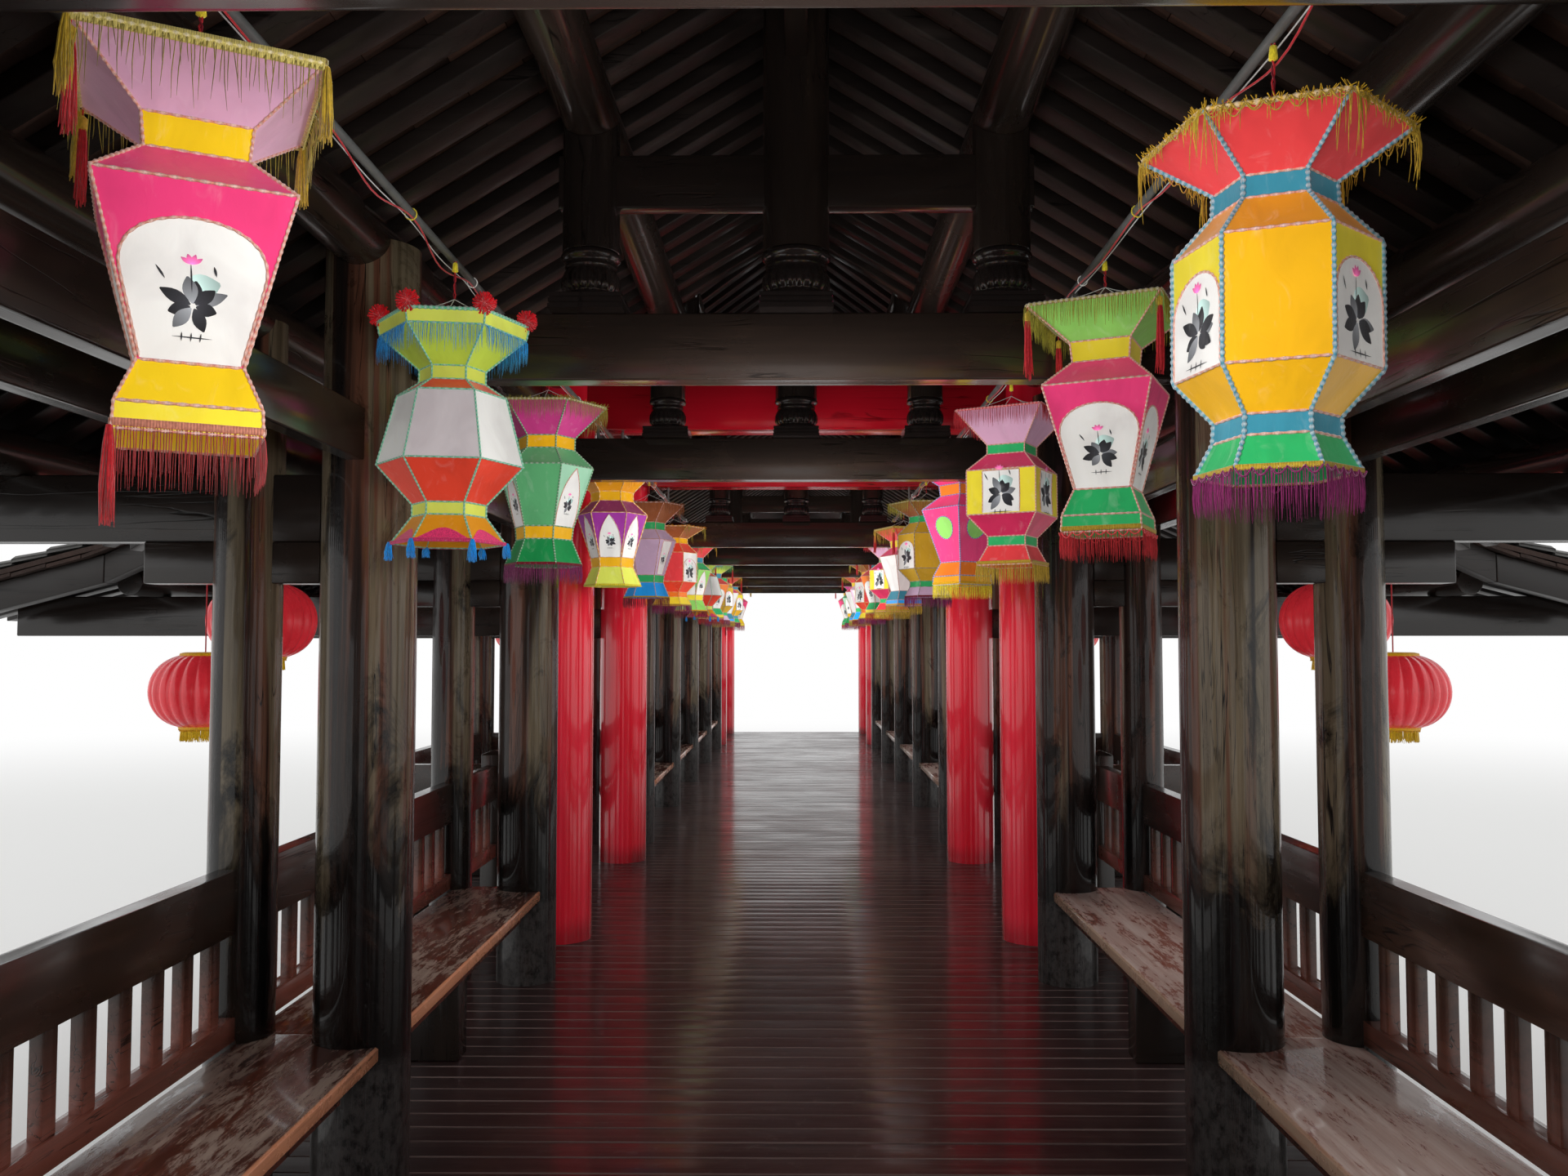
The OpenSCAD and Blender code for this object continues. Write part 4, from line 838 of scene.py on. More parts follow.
class RoofSide:
    """The layers of one side of one roof. Heights are measured straight up from the roof line."""

    COURSE = 0.19

    def __init__(self, line, pitch, rows, ends, side, rng):
        self.line, self.pitch, self.rows, self.ends = np.array(line), pitch, rows, ends
        self.side, self.rng = side, rng
        x, z = along_slope(line, self.COURSE)
        # The upper and the lower end of each course, its height that of the rafters' top
        self.high = x[:-1], DECK + z[:-1] + RAFTER_V
        self.low = x[1:], DECK + z[1:] + RAFTER_V

    def courses(self, rows):
        """The row and the course of every tile, row by row."""
        yy, kk = np.meshgrid(rows, np.arange(len(self.high[0])), indexing="ij")
        return yy.ravel(), kk.ravel()

    def outward(self, quads):
        """Quads that face outwards on the side x > 0, turned to do so on the other side."""
        return quads if self.side > 0 else quads[:, ::-1]

    def lay(self, heap, points, quads):
        """Adds like tiles, each with a random number of its own."""
        count, corners = points.shape[0], points[0].size // 3
        heap.add(points, repeated(corners, quads, count),
                 member=np.repeat(self.rng.random(count), corners))

    def bricks(self, heap):
        """Flat bricks, one between each two rafters in each course, each a hair out of level."""
        y, k = self.courses(self.rows)
        gap, thick = 0.0025, 0.018
        tip = self.rng.uniform(0.0, 0.006, len(y))
        corners = []
        for (x, z), inset, lift in ((self.high, gap, tip), (self.low, -gap, 0.0)):
            for across in (-1, 1):
                for up in (0.0, thick):
                    cy = y + across * (self.pitch / 2 - gap)
                    cy = np.clip(cy, self.ends[0] + gap, self.ends[1] - gap)
                    corners.append(np.stack([self.side * (x[k] + inset), cy, z[k] + up + lift], -1))
        box = np.array([[0, 4, 6, 2], [1, 3, 7, 5], [0, 1, 5, 4], [2, 6, 7, 3], [0, 2, 3, 1],
                        [4, 5, 7, 6]])
        self.lay(heap, np.stack(corners, 1), self.outward(box))

    def bed(self, heap):
        """The mortar between bricks and tiles, from end to end of the roof."""
        xs, zs = self.line.T
        ring = [np.stack([self.side * xs, np.full(len(xs), y), DECK + zs + RAFTER_V + up], -1)
                for y, up in ((self.ends[0], 0.026), (self.ends[0], 0.052),
                              (self.ends[1], 0.052), (self.ends[1], 0.026))]
        last = 4 * len(xs)
        caps = [[0, 1, 2, 3], [last - 1, last - 2, last - 3, last - 4]]
        quads = np.concatenate([grid_quads(len(xs), 4, wrap_cols=True), caps])
        heap.add(np.stack(ring, 1), self.outward(quads[:, ::-1]), member=0.5)

    def pans(self, heap):
        """Pan tiles: they sag between the cover tiles, and each course rides over the next."""
        y, k = self.courses(self.rows)
        arc = np.linspace(-1, 1, 5)
        across = np.clip(y[:, None] + arc * self.pitch / 2, self.ends[0] + 0.004, self.ends[1] - 0.004)
        lines = []
        for (x, z), up in ((self.high, 0.0), (self.low, 0.016), (self.low, 0.0)):
            level = z[k][:, None] + 0.056 + up + 0.02 * arc ** 2
            level = level + self.rng.uniform(0, 0.002, len(y))[:, None]
            along = np.broadcast_to(self.side * x[k][:, None], level.shape)
            lines.append(np.stack([along, across, level], -1))
        self.lay(heap, np.stack(lines, 1), self.outward(grid_quads(3, 5)))

    def covers(self, heap):
        """Half-round cover tiles over the joints of the pan tiles."""
        joints = np.concatenate([[self.rows[0] - self.pitch / 2], self.rows + self.pitch / 2])
        y, k = self.courses(np.clip(joints, self.ends[0] + 0.058, self.ends[1] - 0.058))
        turn = np.linspace(0, math.pi, 6)
        lines = []
        for (x, z), r, up in ((self.high, 0.050, 0.0), (self.low, 0.056, 0.010), (self.low, 0.044, 0.010)):
            level = z[k][:, None] + 0.062 + up + (r - 0.016) * np.sin(turn)
            level = level + self.rng.uniform(0, 0.002, len(y))[:, None]
            along = np.broadcast_to(self.side * x[k][:, None], level.shape)
            lines.append(np.stack([along, y[:, None] + r * np.cos(turn), level], -1))
        self.lay(heap, np.stack(lines, 1), self.outward(grid_quads(3, 6)[:, ::-1]))


# Lanterns

LANTERN_H, LANTERN_R = 0.71, 0.255
# Each form: shares of height and radius from the skirt's hem up, and which tier is the body
FORMS = {
    "drum": ([(.12, .61), (.21, .47), (.265, .46), (.38, .765), (.71, .765), (.82, .46), (.88, .45),
              (1, 1)], 3),
    "bell": ([(.10, .64), (.21, .41), (.26, .41), (.42, .82), (.70, .61), (.755, .37), (.81, .37),
              (.945, .82), (1, .85)], 3),
    "vase": ([(.12, .60), (.26, .43), (.33, .45), (.66, .74), (.76, .44), (.83, .44), (1, .92)], 2),
    "square": ([(.12, .60), (.185, .59), (.29, .43), (.69, .82), (.79, .43), (.87, .46), (1, 1)], 2),
    "block": ([(.113, .64), (.225, .44), (.28, .44), (.40, .81), (.655, .81), (.755, .44),
               (.81, .44), (1, 1)], 3),
}

SQUARE_FORMS = ("square", "block")

# Patches on a body face: lowest and highest share of its height, and half-width at a height
PATCHES = {
    "arch": (0.01, 0.80, lambda v: 0.475 * np.sqrt(1 - np.clip((v - 0.48) / 0.32, 0, 1) ** 2)),
    "ogive": (0.01, 0.96, lambda v: 0.46 * (1 - (np.clip(v, 0, 0.96) / 0.96) ** 2.2)),
    "panel": (0.03, 0.97, lambda v: np.full_like(v, 0.27)),
    "disc": (0.42, 0.84, lambda v: 0.27 * np.sqrt(np.clip(1 - ((v - 0.63) / 0.21) ** 2, 0, 1))),
}

# Dyes as display values
DYES = dict(pair.split("=") for pair in """
rose=f2417f mauve=dbacc8 white=f1f0ec grey=dcd3d6 lemon=f0dd3a gold=f0b41c amber=e59a1e sun=f6cf20
limelight=dfe860 coral=e8464a teal=3b8fa6 green=2fb468 fern=5fae74 mint=a9e0bd pine=1f8f4c
lime=c3dc4c leaf=93d768 flame=f04a33 crimson=d5325f magenta=c93d86 purple=a23aa0 plum=8a2a66
orange=f07f2a sky=25a4f8 blue=2d62b8 scarlet=c02a32 wine=7e1c2a thread=c9a83a olive=a59a3c
brown=9a5a34 lavender=cdb2cf copper=d98f78 red=e3202c brick=b23038 mist=b9d6d0 aqua=52c79c
vermilion=f43844 band=ead77c ink=2b2c30 ash=75787c mustard=d3a82e pink=ef6fae silver=c9ccc9
""".split())

# Tiers from the skirt up; the body's second colour; patches on even and odd faces; rim,
# rim strands, edges, rings, fringe and its heading; what else hangs on it, each with its dye
LOOKS = {
    "coral": ("drum", "green teal gold gold amber teal coral", "lemon", "- arch",
              "mustard thread teal copper plum thread", "fuzz loops:thread swag:plum cord:teal"),
    "rose": ("square", "lemon sun rose rose sun mauve", "rose", "arch arch",
             "band olive copper copper brick copper", "braid pair:scarlet tuft:thread train:scarlet"),
    "bell": ("bell", "amber limelight flame grey flame limelight lime limelight", "white", "- -",
             "aqua sky aqua aqua - rose", "under arcs:rose pompom:red foot:sky"),
    "limerose": ("square", "green green rose rose lemon leaf", "rose", "arch arch",
                 "olive olive copper copper scarlet thread", "even tassel:scarlet swag:coral"),
    "jade": ("vase", "pine gold fern fern gold magenta", "mint", "- ogive",
             "olive olive pine pine plum wine", "fuzz even"),
    "mauve": ("block", "coral green crimson lemon crimson green mauve", "lemon", "panel panel",
              "coral scarlet copper copper thread thread", "even"),
    "violet": ("vase", "limelight gold purple plum gold amber", "purple", "ogive ogive",
               "gold orange gold gold - lemon", "flap:lemon pompom:rose"),
    "disc": ("square", "amber orange rose rose orange rose", "rose", "disc disc",
             "orange - blue blue lemon gold", "stalk:leaf"),
    "lavender": ("vase", "sky green lavender lavender green brown", "lavender", "- panel",
                 "brown brown copper copper wine thread", "fuzz even"),
    "ember": ("drum", "lemon orange flame coral flame gold brown", "white", "- arch",
              "amber olive gold gold plum thread", "fuzz"),
    "spring": ("vase", "leaf lemon green green teal coral", "leaf", "ogive ogive",
               "thread thread copper copper wine gold", "fuzz"),
    "mustard": ("drum", "lavender green mustard mustard mustard green brown", "mustard", "- arch",
                "olive olive ash ash plum wine", "fuzz even"),
    "sky": ("square", "sky teal white rose lemon coral", "white", "- -",
            "thread thread copper copper thread gold", "braid tassel:scarlet"),
    "sunny": ("square", "lemon green orange coral teal lime", "orange", "arch arch",
              "fern fern copper copper scarlet thread", "even tassel:scarlet"),
}

# Places along the walk for each side, both ways from the middle, and the looks from the near end
PLACES = {-1: (1.64, 3.35, 4.73, 6.17, 7.25, 8.6, 10.1, 11.63),
          1: (1.74, 3.06, 4.73, 5.99, 7.25, 8.6, 10.1, 11.63)}
LINES = {-1: """sunny jade sky ember rose bell jade violet lavender
                ember spring bell sunny mustard sky coral rose""".split(),
         1: """rose spring limerose mustard coral limerose mauve disc mustard
               sky mauve sunny ember lavender sky jade limerose""".split()}

# Turn in degrees, way off the rod, hem above the deck, height and radius of the nearest ones
POSES = {(-1, -6.17): (28, -0.022, 1.905, 0.70, 0.258), (-1, -4.73): (9, 0.01, 1.868, 0.705, 0.25),
         (-1, -3.35): (0, 0.0, 1.88, 0.72, 0.255), (1, -5.99): (-20.3, 0.0, 1.875, 0.695, 0.233),
         (1, -4.73): (-25.7, 0.01, 1.878, 0.725, 0.258), (1, -3.06): (-28.6, 0.035, 1.90, 0.73, 0.258),
         (1, -1.74): (33, 0.0, 1.88, 0.71, 0.255)}


def dye(name):
    """A named dye, turned from display values to light."""
    c = np.array([int(DYES[name][i:i + 2], 16) / 255 for i in (0, 2, 4)])
    return np.where(c > 0.04045, ((c + 0.055) / 1.055) ** 2.4, c / 12.92)


def thread_tones(rng, tone, low, high, count, points):
    """One shade of a dye for each of many threads, given to each of its points."""
    return np.clip(np.repeat(dye(tone) * rng.uniform(low, high, (count, 1)), points, axis=0), 0, 1)


def patch_outline(kind):
    """Heights up a patch, closer together at its ends, and its half-width at each."""
    low, high, half = PATCHES[kind]
    v = low + (high - low) * (1 - np.cos(np.linspace(0, math.pi, 16))) / 2
    return v, half(v)


def unit(v):
    """Vectors brought to a length of one."""
    return v / (np.linalg.norm(v, axis=-1, keepdims=True) + 1e-12)


def tubes(paths, out, radius, sides=4):
    """Tubes along paths (k, n, 3): each ring is p + r (cos a · up + sin a · side), where side is
    square to the path and to the way out of the form."""
    paths = np.asarray(paths, float)
    along = unit(np.gradient(paths, axis=1))
    side = unit(np.cross(along, np.broadcast_to(out, paths.shape)))
    up = np.cross(side, along)
    a = np.arange(sides) * TAU / sides
    ring = up[:, :, None] * np.cos(a)[:, None] + side[:, :, None] * np.sin(a)[:, None]
    r = np.broadcast_to(radius, paths.shape[:2])[..., None, None]
    k, n = paths.shape[:2]
    return paths[:, :, None] + r * ring, repeated(n * sides, grid_quads(n, sides, wrap_cols=True), k)


class Lantern:
    """A silk lantern on a frame with flat faces. Its own shape is worked out about its middle
    line, then turned, leaned a little and put under the rod."""

    def __init__(self, side, y, look, rng):
        form, tiers, second, patches, trims, extra = LOOKS[look]
        self.x, self.y, self.rng = side * ROD_X[side], y, rng
        self.form, self.body = FORMS[form]
        self.n = 4 if form in SQUARE_FORMS else 6
        self.tiers, self.second, self.patches = tiers.split(), second, patches.split()
        self.extra = dict((word.split(":") + [""])[:2] for word in extra.split())
        self.rim, self.strand, self.edge, self.ring, self.fringe, self.head = trims.split()
        turn = rng.normal(0, 4)
        if self.n == 4:
            turn += 28 * side * (-1 if y < 0 else 1)
        usual = (turn, 0.0, 1.88 + rng.normal(0, 0.008), LANTERN_H, LANTERN_R)
        turn, self.off, hem, self.h, self.r = POSES.get((side, y), usual)
        self.z, self.turn = DECK + hem, math.radians(turn)
        # Lanterns away from the camera get fewer and thicker threads
        self.coarse = 1.0 if (side, y) in POSES else 2.2
        self.lean = rng.normal(0, 0.010, 2)
        start = TAU / 8 if self.n == 4 else 0.0
        a = start + np.arange(self.n + 1) * TAU / self.n
        t, rho = np.array(self.form).T
        r, up = rho[:, None] * self.r, t[:, None] * self.h
        self.net = np.stack([r * np.cos(a), r * np.sin(a), np.broadcast_to(up, (len(t), self.n + 1))], -1)

    def put(self, p):
        """Turns a form about its middle line and leans it from its top."""
        c, s = math.cos(self.turn), math.sin(self.turn)
        x, y, z = p[..., 0], p[..., 1], p[..., 2]
        drop = z - self.h
        return np.stack([self.x + self.off + c * x - s * y + self.lean[0] * drop,
                         self.y + s * x + c * y + self.lean[1] * drop, self.z + z], -1)

    def face(self, tier, k, u, v, lift=0.0):
        """A point of a face: between its four corners by shares u and v, drawn in by the pull of
        the cloth as 16 u (1 - u) v (1 - v), then moved outwards by the lift."""
        a, b = self.net[tier, k], self.net[tier, k + 1]
        d, c = self.net[tier + 1, k], self.net[tier + 1, k + 1]
        u, v = np.asarray(u)[..., None], np.asarray(v)[..., None]
        flat = (a * (1 - u) + b * u) * (1 - v) + (d * (1 - u) + c * u) * v
        out = unit(np.cross(b + c - a - d, d + c - a - b))
        pull = 0.035 * min(np.linalg.norm(b - a + c - d) / 2, np.linalg.norm(d - a))
        return flat + out * (lift - pull * 16 * u * (1 - u) * v * (1 - v))

    def side_line(self, tier, k):
        """The two ends of a face's edge, and the level way outwards from its middle."""
        a, b = self.net[tier, k], self.net[tier, k + 1]
        return a, b, unit((a + b) * (1, 1, 0))

    def silk(self, heap):
        """The cloth of all the faces, each of its own tone, with their patches."""
        v, u = np.meshgrid(np.linspace(0, 1, 6), np.linspace(0, 1, 8), indexing="ij")
        for tier in range(len(self.form) - 1):
            for k in range(self.n):
                name = self.second if tier == self.body and k % 2 else self.tiers[tier]
                tone = dye(name) * self.rng.uniform(0.92, 1.0)
                heap.add(self.put(self.face(tier, k, u, v)), grid_quads(6, 8), tint=tone)
        for k in range(self.n):
            kind = self.patches[k % 2]
            if kind != "-":
                self.patch(heap, k, kind)

    def patch(self, heap, k, kind):
        """A patch a millimetre and a half proud of its face, with an ink sprig on white silk."""
        v, half = patch_outline(kind)
        u = 0.5 + half[:, None] * np.linspace(-1, 1, 7)
        tone = dye("leaf" if kind == "disc" else "white") * self.rng.uniform(0.95, 1.0)
        points = self.face(self.body, k, u, np.broadcast_to(v[:, None], u.shape), 0.0015)
        heap.add(self.put(points), grid_quads(16, 7), tint=tone)
        if kind != "disc":
            self.sprig(heap, k, kind)

    def sprig(self, heap, k, kind):
        """A brushed water lily: leaves about one point, each a lens 2 w sin(pi s)^0.8 wide, a
        stem with a bud above them, reeds at both sides and strokes for the water below."""
        share, low = {"arch": (0.72, 0.32), "ogive": (0.62, 0.34), "panel": (0.55, 0.44)}[kind]
        foot, top = self.net[self.body], self.net[self.body + 1]
        wide, tall = np.linalg.norm(foot[k + 1] - foot[k]), np.linalg.norm(top[k] - foot[k])
        size = share * min(wide, 0.30 * tall / 0.26 if kind == "arch" else wide)
        wide = wide * (1 - low) + np.linalg.norm(top[k + 1] - top[k]) * low
        s, c = np.meshgrid(np.linspace(0, 1, 8), np.linspace(-1, 1, 4), indexing="ij")
        lens = c * np.sin(math.pi * np.clip(s, 0.02, 0.98)) ** 0.8
        fade = (2.6 - 1.9 * s ** 0.6)[..., None]
        lifts = iter(np.linspace(0.0018, 0.0036, 24))

        def stroke(dx, dz, angle, length, width, tone):
            """One lens from a point of the sprig, in shares of its size."""
            along, across = s * length, lens * width
            u = 0.5 + (dx + along * math.cos(angle) - across * math.sin(angle)) * size / wide
            v = low + (dz + along * math.sin(angle) + across * math.cos(angle)) * size / tall
            points = self.face(self.body, k, u, v, next(lifts))
            heap.add(self.put(points), grid_quads(8, 4), tint=(fade * dye(tone)).reshape(-1, 3))

        stroke(-0.12, 0.20, 0.35, 0.46, 0.20, "mist")
        for i, a in enumerate((0.15, 0.75, 1.35, 2.0, 2.75, 3.5, 4.1, 5.3, 5.9)):
            a += self.rng.normal(0, 0.12)
            length = 0.38 * self.rng.uniform(0.7, 1.15)
            stroke(0.04 * math.cos(a), 0.04 * math.sin(a), a, length, 0.095, "ink" if i % 3 else "ash")
        stroke(-0.02, 0.20, 1.62, 0.42, 0.010, "ink")
        for a in (0.7, 1.3, 1.9, 2.5):
            stroke(-0.03, 0.60, a, 0.15, 0.032, "pink")
        for dx, dz, a, length in ((-0.34, 0.36, 2.05, 0.20), (0.26, 0.46, 1.85, 0.15)):
            stroke(dx, dz, a, length, 0.016, "ink")
        stroke(-0.30, -0.46, 0.0, 0.6, 0.010, "ink")
        for dx in (-0.16, -0.02, 0.12):
            stroke(dx, -0.52, 1.5, 0.13, 0.012, "ink")

    def cord(self, heap, points, out, tone, radius, step):
        """A beaded cord along a line of points: it swells and narrows, with a painted highlight
        where it swells."""
        lengths = np.linalg.norm(np.diff(points, axis=0), axis=1)
        rows = max(3, int(lengths.sum() / step / self.coarse) | 1)
        share = np.concatenate([[0], np.cumsum(lengths)]) / lengths.sum()
        at = np.linspace(0, 1, rows)
        line = np.stack([np.interp(at, share, points[:, i]) for i in range(3)], -1)
        swell = np.arange(rows) % 2
        r = radius * np.where(swell, 1.0, 0.62)
        r[0] = r[-1] = 0.0003
        sides = 4 if self.coarse == 1.0 else 3
        way = self.put(out * 0.001) - self.put(np.zeros(3))
        p, q = tubes(self.put(line)[None], way, r, sides)
        # Painted highlight: the swellings are mixed halfway to a pale pink.
        bead = 0.5 * swell.repeat(sides)[:, None]
        heap.add(p, q, tint=dye(tone) * (1 - bead) + bead * (0.85, 0.78, 0.76))

    def piping(self, heap):
        """Beaded cords on the corners, on the edges of all the tiers and round the patches."""
        thick = 0.0056 if "cord" in self.extra else 0.0040
        for k in range(self.n):
            out = unit(self.net[0, k] * (1, 1, 0))
            self.cord(heap, self.net[:, k] + out * 0.001, out, self.edge, thick, 0.006)
            for tier in range(len(self.form)):
                a, b, out = self.side_line(tier, k)
                at_rim = tier == len(self.form) - 1
                tone, radius, step = (self.rim, 0.0065, 0.0075) if at_rim else (self.ring, 0.0034, 0.010)
                self.cord(heap, np.stack([a, b]) + out * 0.001, out, tone, radius, step)
            kind = self.patches[k % 2]
            if kind != "-":
                v, half = patch_outline(kind)
                v, u = np.concatenate([v, v[::-1]]), 0.5 + np.concatenate([-half, half[::-1]])
                tone = self.edge if kind == "disc" else "copper"
                out = self.side_line(self.body, k)[2]
                self.cord(heap, self.face(self.body, k, u, v, 0.002), out, tone, 0.003, 0.008)

    def strands(self, heap, tier, spacing, low, high, tone, thick, out_by=0.004, curl=0.0,
                bunch=0.0, lift=0.0):
        """Threads along an edge: they leave it outwards and hang, with random lengths. In a
        bunched fringe that share of them moves towards the corners, and the rest are shorter."""
        if tone == "-":
            return
        for k in range(self.n):
            a, b, out = self.side_line(tier, k)
            count = max(2, int(np.linalg.norm(b - a) / spacing / self.coarse ** 0.6))
            s = (np.arange(count) + self.rng.uniform(0.1, 0.9, count)) / count
            if bunch:
                outer = 0.5 + 0.5 * np.sign(s - 0.5) * np.abs(2 * s - 1) ** 0.25
                s = np.where(self.rng.random(count) < bunch, outer, s)
            root = a + (b - a) * s[:, None] + (0, 0, lift)
            length = self.rng.uniform(low, high, count)
            if bunch:
                length = np.where(np.abs(2 * s - 1) > 0.8, length, 0.4 * length)
            length = length[:, None]
            sway = self.rng.normal(0, 0.012 + curl, (count, 2)) * length
            line = np.stack([root + out * by for by in (0.001, out_by, out_by + 0.002, out_by)], 1)
            line[:, 1:, 2] -= length * (0.15, 0.6, 1.0)
            line[:, 2, :2] += sway * 0.6
            line[:, 3, :2] += sway + self.rng.normal(0, 0.5 * curl, (count, 2)) * length
            line = self.put(line)
            line[..., 2] = np.maximum(line[..., 2], self.z + 0.002)
            radius = np.array([0.8, 1.0, 1.0, 0.3]) * thick * self.coarse ** 0.4
            p, q = tubes(line, (0.3, 1.0, 0.05), radius, 3)
            heap.add(p, q, tint=thread_tones(self.rng, tone, 0.6, 1.1, count, 12))

    def fuzz(self, heap):
        """Short tufts of the rim's braid, pointing up and outwards."""
        for k in range(self.n):
            a, b, out = self.side_line(-1, k)
            count = int(np.linalg.norm(b - a) / 0.0026 / self.coarse ** 0.6)
            s = self.rng.random(count)
            corner = np.abs(2 * s - 1) ** 6
            root = a + (b - a) * s[:, None]
            way = unit(self.rng.normal(0, 0.6, (count, 3)) + out * 0.5 + (0, 0, 0.5))
            tip = root + way * (self.rng.uniform(0.008, 0.016, count) + corner * 0.012)[:, None]
            tip[:, 2] = np.minimum(tip[:, 2], self.h + 0.014)
            p, q = tubes(self.put(np.stack([root, tip], 1)), (0.3, 0.9, 0.2), (0.0015, 0.0007), 3)
            heap.add(p, q, tint=thread_tones(self.rng, self.rim, 0.7, 1.1, count, 6))

    def braid(self, heap, tier, tone, low, high, pitch):
        """A ribbed band along an edge: its ribs stand out by 1.4 sin(pi i / 2)^2 mm, and the
        grooves between them carry painted shade.
        """
        if tone == "-":
            return
        section = ((low, 0.001), (low + 0.002, 0.0035), (high - 0.0015, 0.0035), (high, 0.001),
                   (high, -0.002))
        for k in range(self.n):
            a, b, out = self.side_line(tier, k)
            count = 2 * int(np.linalg.norm(b - a) / pitch / self.coarse) + 1
            s = np.linspace(0, 1, count)[:, None]
            rib = (np.arange(count) % 2)[:, None]
            rows = [a + (b - a) * s + out * (by + 0.0014 * rib * (by > 0.002)) + (0, 0, up)
                    for up, by in section]
            # Painted shade: the grooves between the ribs are darker, 0.62 of the dye.
            shade = np.tile(np.where(rib, 1.0, 0.62), (5, 1)) * self.rng.uniform(0.9, 1.0)
            heap.add(self.put(np.array(rows)), grid_quads(5, count), tint=shade * dye(tone))

    def scallops(self, heap, a, b, out, tone, spacing, deep, radius=0.0012):
        """A thread that hangs from an edge in loops: it falls by deep |sin(pi s)|."""
        loops = max(1, round(np.linalg.norm(b - a) / spacing))
        s = np.linspace(0, 1, loops * 8 + 1)
        depths = deep * self.rng.uniform(0.6, 1.15, loops + 1)[(s * loops).astype(int)]
        line = a + (b - a) * s[:, None] + out * 0.007
        line[:, 2] -= depths * np.abs(np.sin(math.pi * s * loops))
        p, q = tubes(self.put(line)[None], (0.3, 0.9, 0.1), radius, 4)
        heap.add(p, q, tint=dye(tone) * self.rng.uniform(0.8, 1.05))

    def extras(self, heap):
        """What hangs on the rim, the hem and the corners of this lantern."""
        for k in range(self.n):
            corner, hem_corner = self.net[-1, k], self.net[0, k]
            out = unit(corner * (1, 1, 0))
            near, far, across = self.side_line(-1, k)
            for kind, tone in self.extra.items():
                if kind == "pompom":
                    self.pompom(heap, corner * (0.97, 0.97, 1.0) + (0, 0, 0.018), 0.034, tone)
                elif kind == "stalk":
                    self.pompom(heap, corner + out * 0.004 + (0, 0, 0.028), 0.019, tone)
                elif kind == "tassel" or kind == "pair" and k in (1, 2):
                    top = corner - out * 0.004 - (0, 0, 0.03)
                    self.tassel(heap, top, 0.19 * self.rng.uniform(0.8, 1.1), tone)
                elif kind == "foot" or kind == "train" and k == 2:
                    long = 0.16 if kind == "train" else 0.055 * self.rng.uniform(0.5, 1.3)
                    self.tassel(heap, hem_corner + out * 0.004 + (0, 0, 0.004), long, tone, False)
                elif kind == "tuft":
                    top = corner + out * 0.004 - (0, 0, 0.006)
                    self.tassel(heap, top, 0.13 * self.rng.uniform(0.8, 1.1), tone, False)
                elif kind == "loops":
                    self.scallops(heap, near, far, across, tone, 0.024, 0.013)
                    self.scallops(heap, near, far, across * 1.2, tone, 0.033, 0.020)
                elif kind == "swag":
                    self.scallops(heap, *self.side_line(0, k), tone, 0.030, 0.014, 0.0018)
                elif kind == "arcs":
                    u = np.linspace(0.04, 0.96, 12)
                    v = np.sin(np.linspace(0, math.pi, 12)) * 0.45 + 0.06
                    scallop = self.face(0, k, np.stack([u, u]), np.stack([v * 0, v]), 0.0012)
                    heap.add(self.put(scallop), grid_quads(2, 12), tint=dye(tone))
                elif kind == "flap":
                    self.flaps(heap, near, far, across, tone)

    def flaps(self, heap, near, far, across, tone):
        """Two pointed flaps that stand up from an edge of the rim and lean outwards."""
        v = np.linspace(0, 1, 6)[:, None, None]
        c = np.linspace(-1, 1, 5)[None, :, None]
        rise = across * 0.018 * np.sin(v * 2.2) + np.array([0, 0, 1]) * (0.105 * v - 0.010)
        for share in (0.28, 0.72):
            middle = near + (far - near) * share + across * 0.002
            points = middle + (far - near) * 0.24 * c * (1 - v ** 2.2) + rise
            heap.add(self.put(points), grid_quads(6, 5), tint=dye(tone))

    def pompom(self, heap, centre, radius, tone):
        """Threads in all directions from one point, spread by the golden angle."""
        count, golden = 130, 2.39996
        i = np.arange(count) + 0.5
        z, a = 1 - 2 * i / count, i * golden
        r = np.sqrt(1 - z * z)
        way = np.stack([r * np.cos(a), r * np.sin(a), z], -1)
        reach = radius * self.rng.uniform(0.75, 1.05, (count, 1))
        line = np.stack([centre + way * radius * 0.2, centre + way * reach], 1)
        p, q = tubes(self.put(line), (0.3, 0.5, 0.8), (0.0030, 0.0034), 3)
        heap.add(p, q, tint=thread_tones(self.rng, tone, 0.7, 1.15, count, 6))

    def tassel(self, heap, top, length, tone, capped=True):
        """Threads that spread as they hang, most of them under a gold cap."""
        count = 36
        a = self.rng.uniform(0, TAU, count)
        spread = np.array([0.004, 0.008, 0.010, 0.012])[:, None] * self.rng.uniform(0.4, 1.0, (count, 1, 1))
        line = top + np.stack([np.cos(a), np.sin(a), np.zeros(count)], -1)[:, None] * spread
        line[..., 2] -= length * self.rng.uniform(0.85, 1.0, (count, 1)) * (0.0, 0.2, 0.6, 1.0)
        line[:, 2:, :2] += self.rng.normal(0, 0.002, (count, 2, 2))
        p, q = tubes(self.put(line), (0.3, 1.0, 0.05), (0.0018, 0.0022, 0.0020, 0.0007), 3)
        heap.add(p, q, tint=thread_tones(self.rng, tone, 0.7, 1.1, count, 12))
        if capped:
            cap = (0.012, 0.006, -0.012, -0.016), (0.002, 0.009, 0.008, 0.006), "thread"
            loop = (0.034, 0.02, 0.012), (0.001, 0.0016, 0.0012), tone
            for heights, radii, shade in (cap, loop):
                line = top + np.array([(0, 0, z) for z in heights])
                p, q = tubes(self.put(line)[None], (1.0, 0.2, 0.0), radii, 8)
                heap.add(p, q, tint=dye(shade))

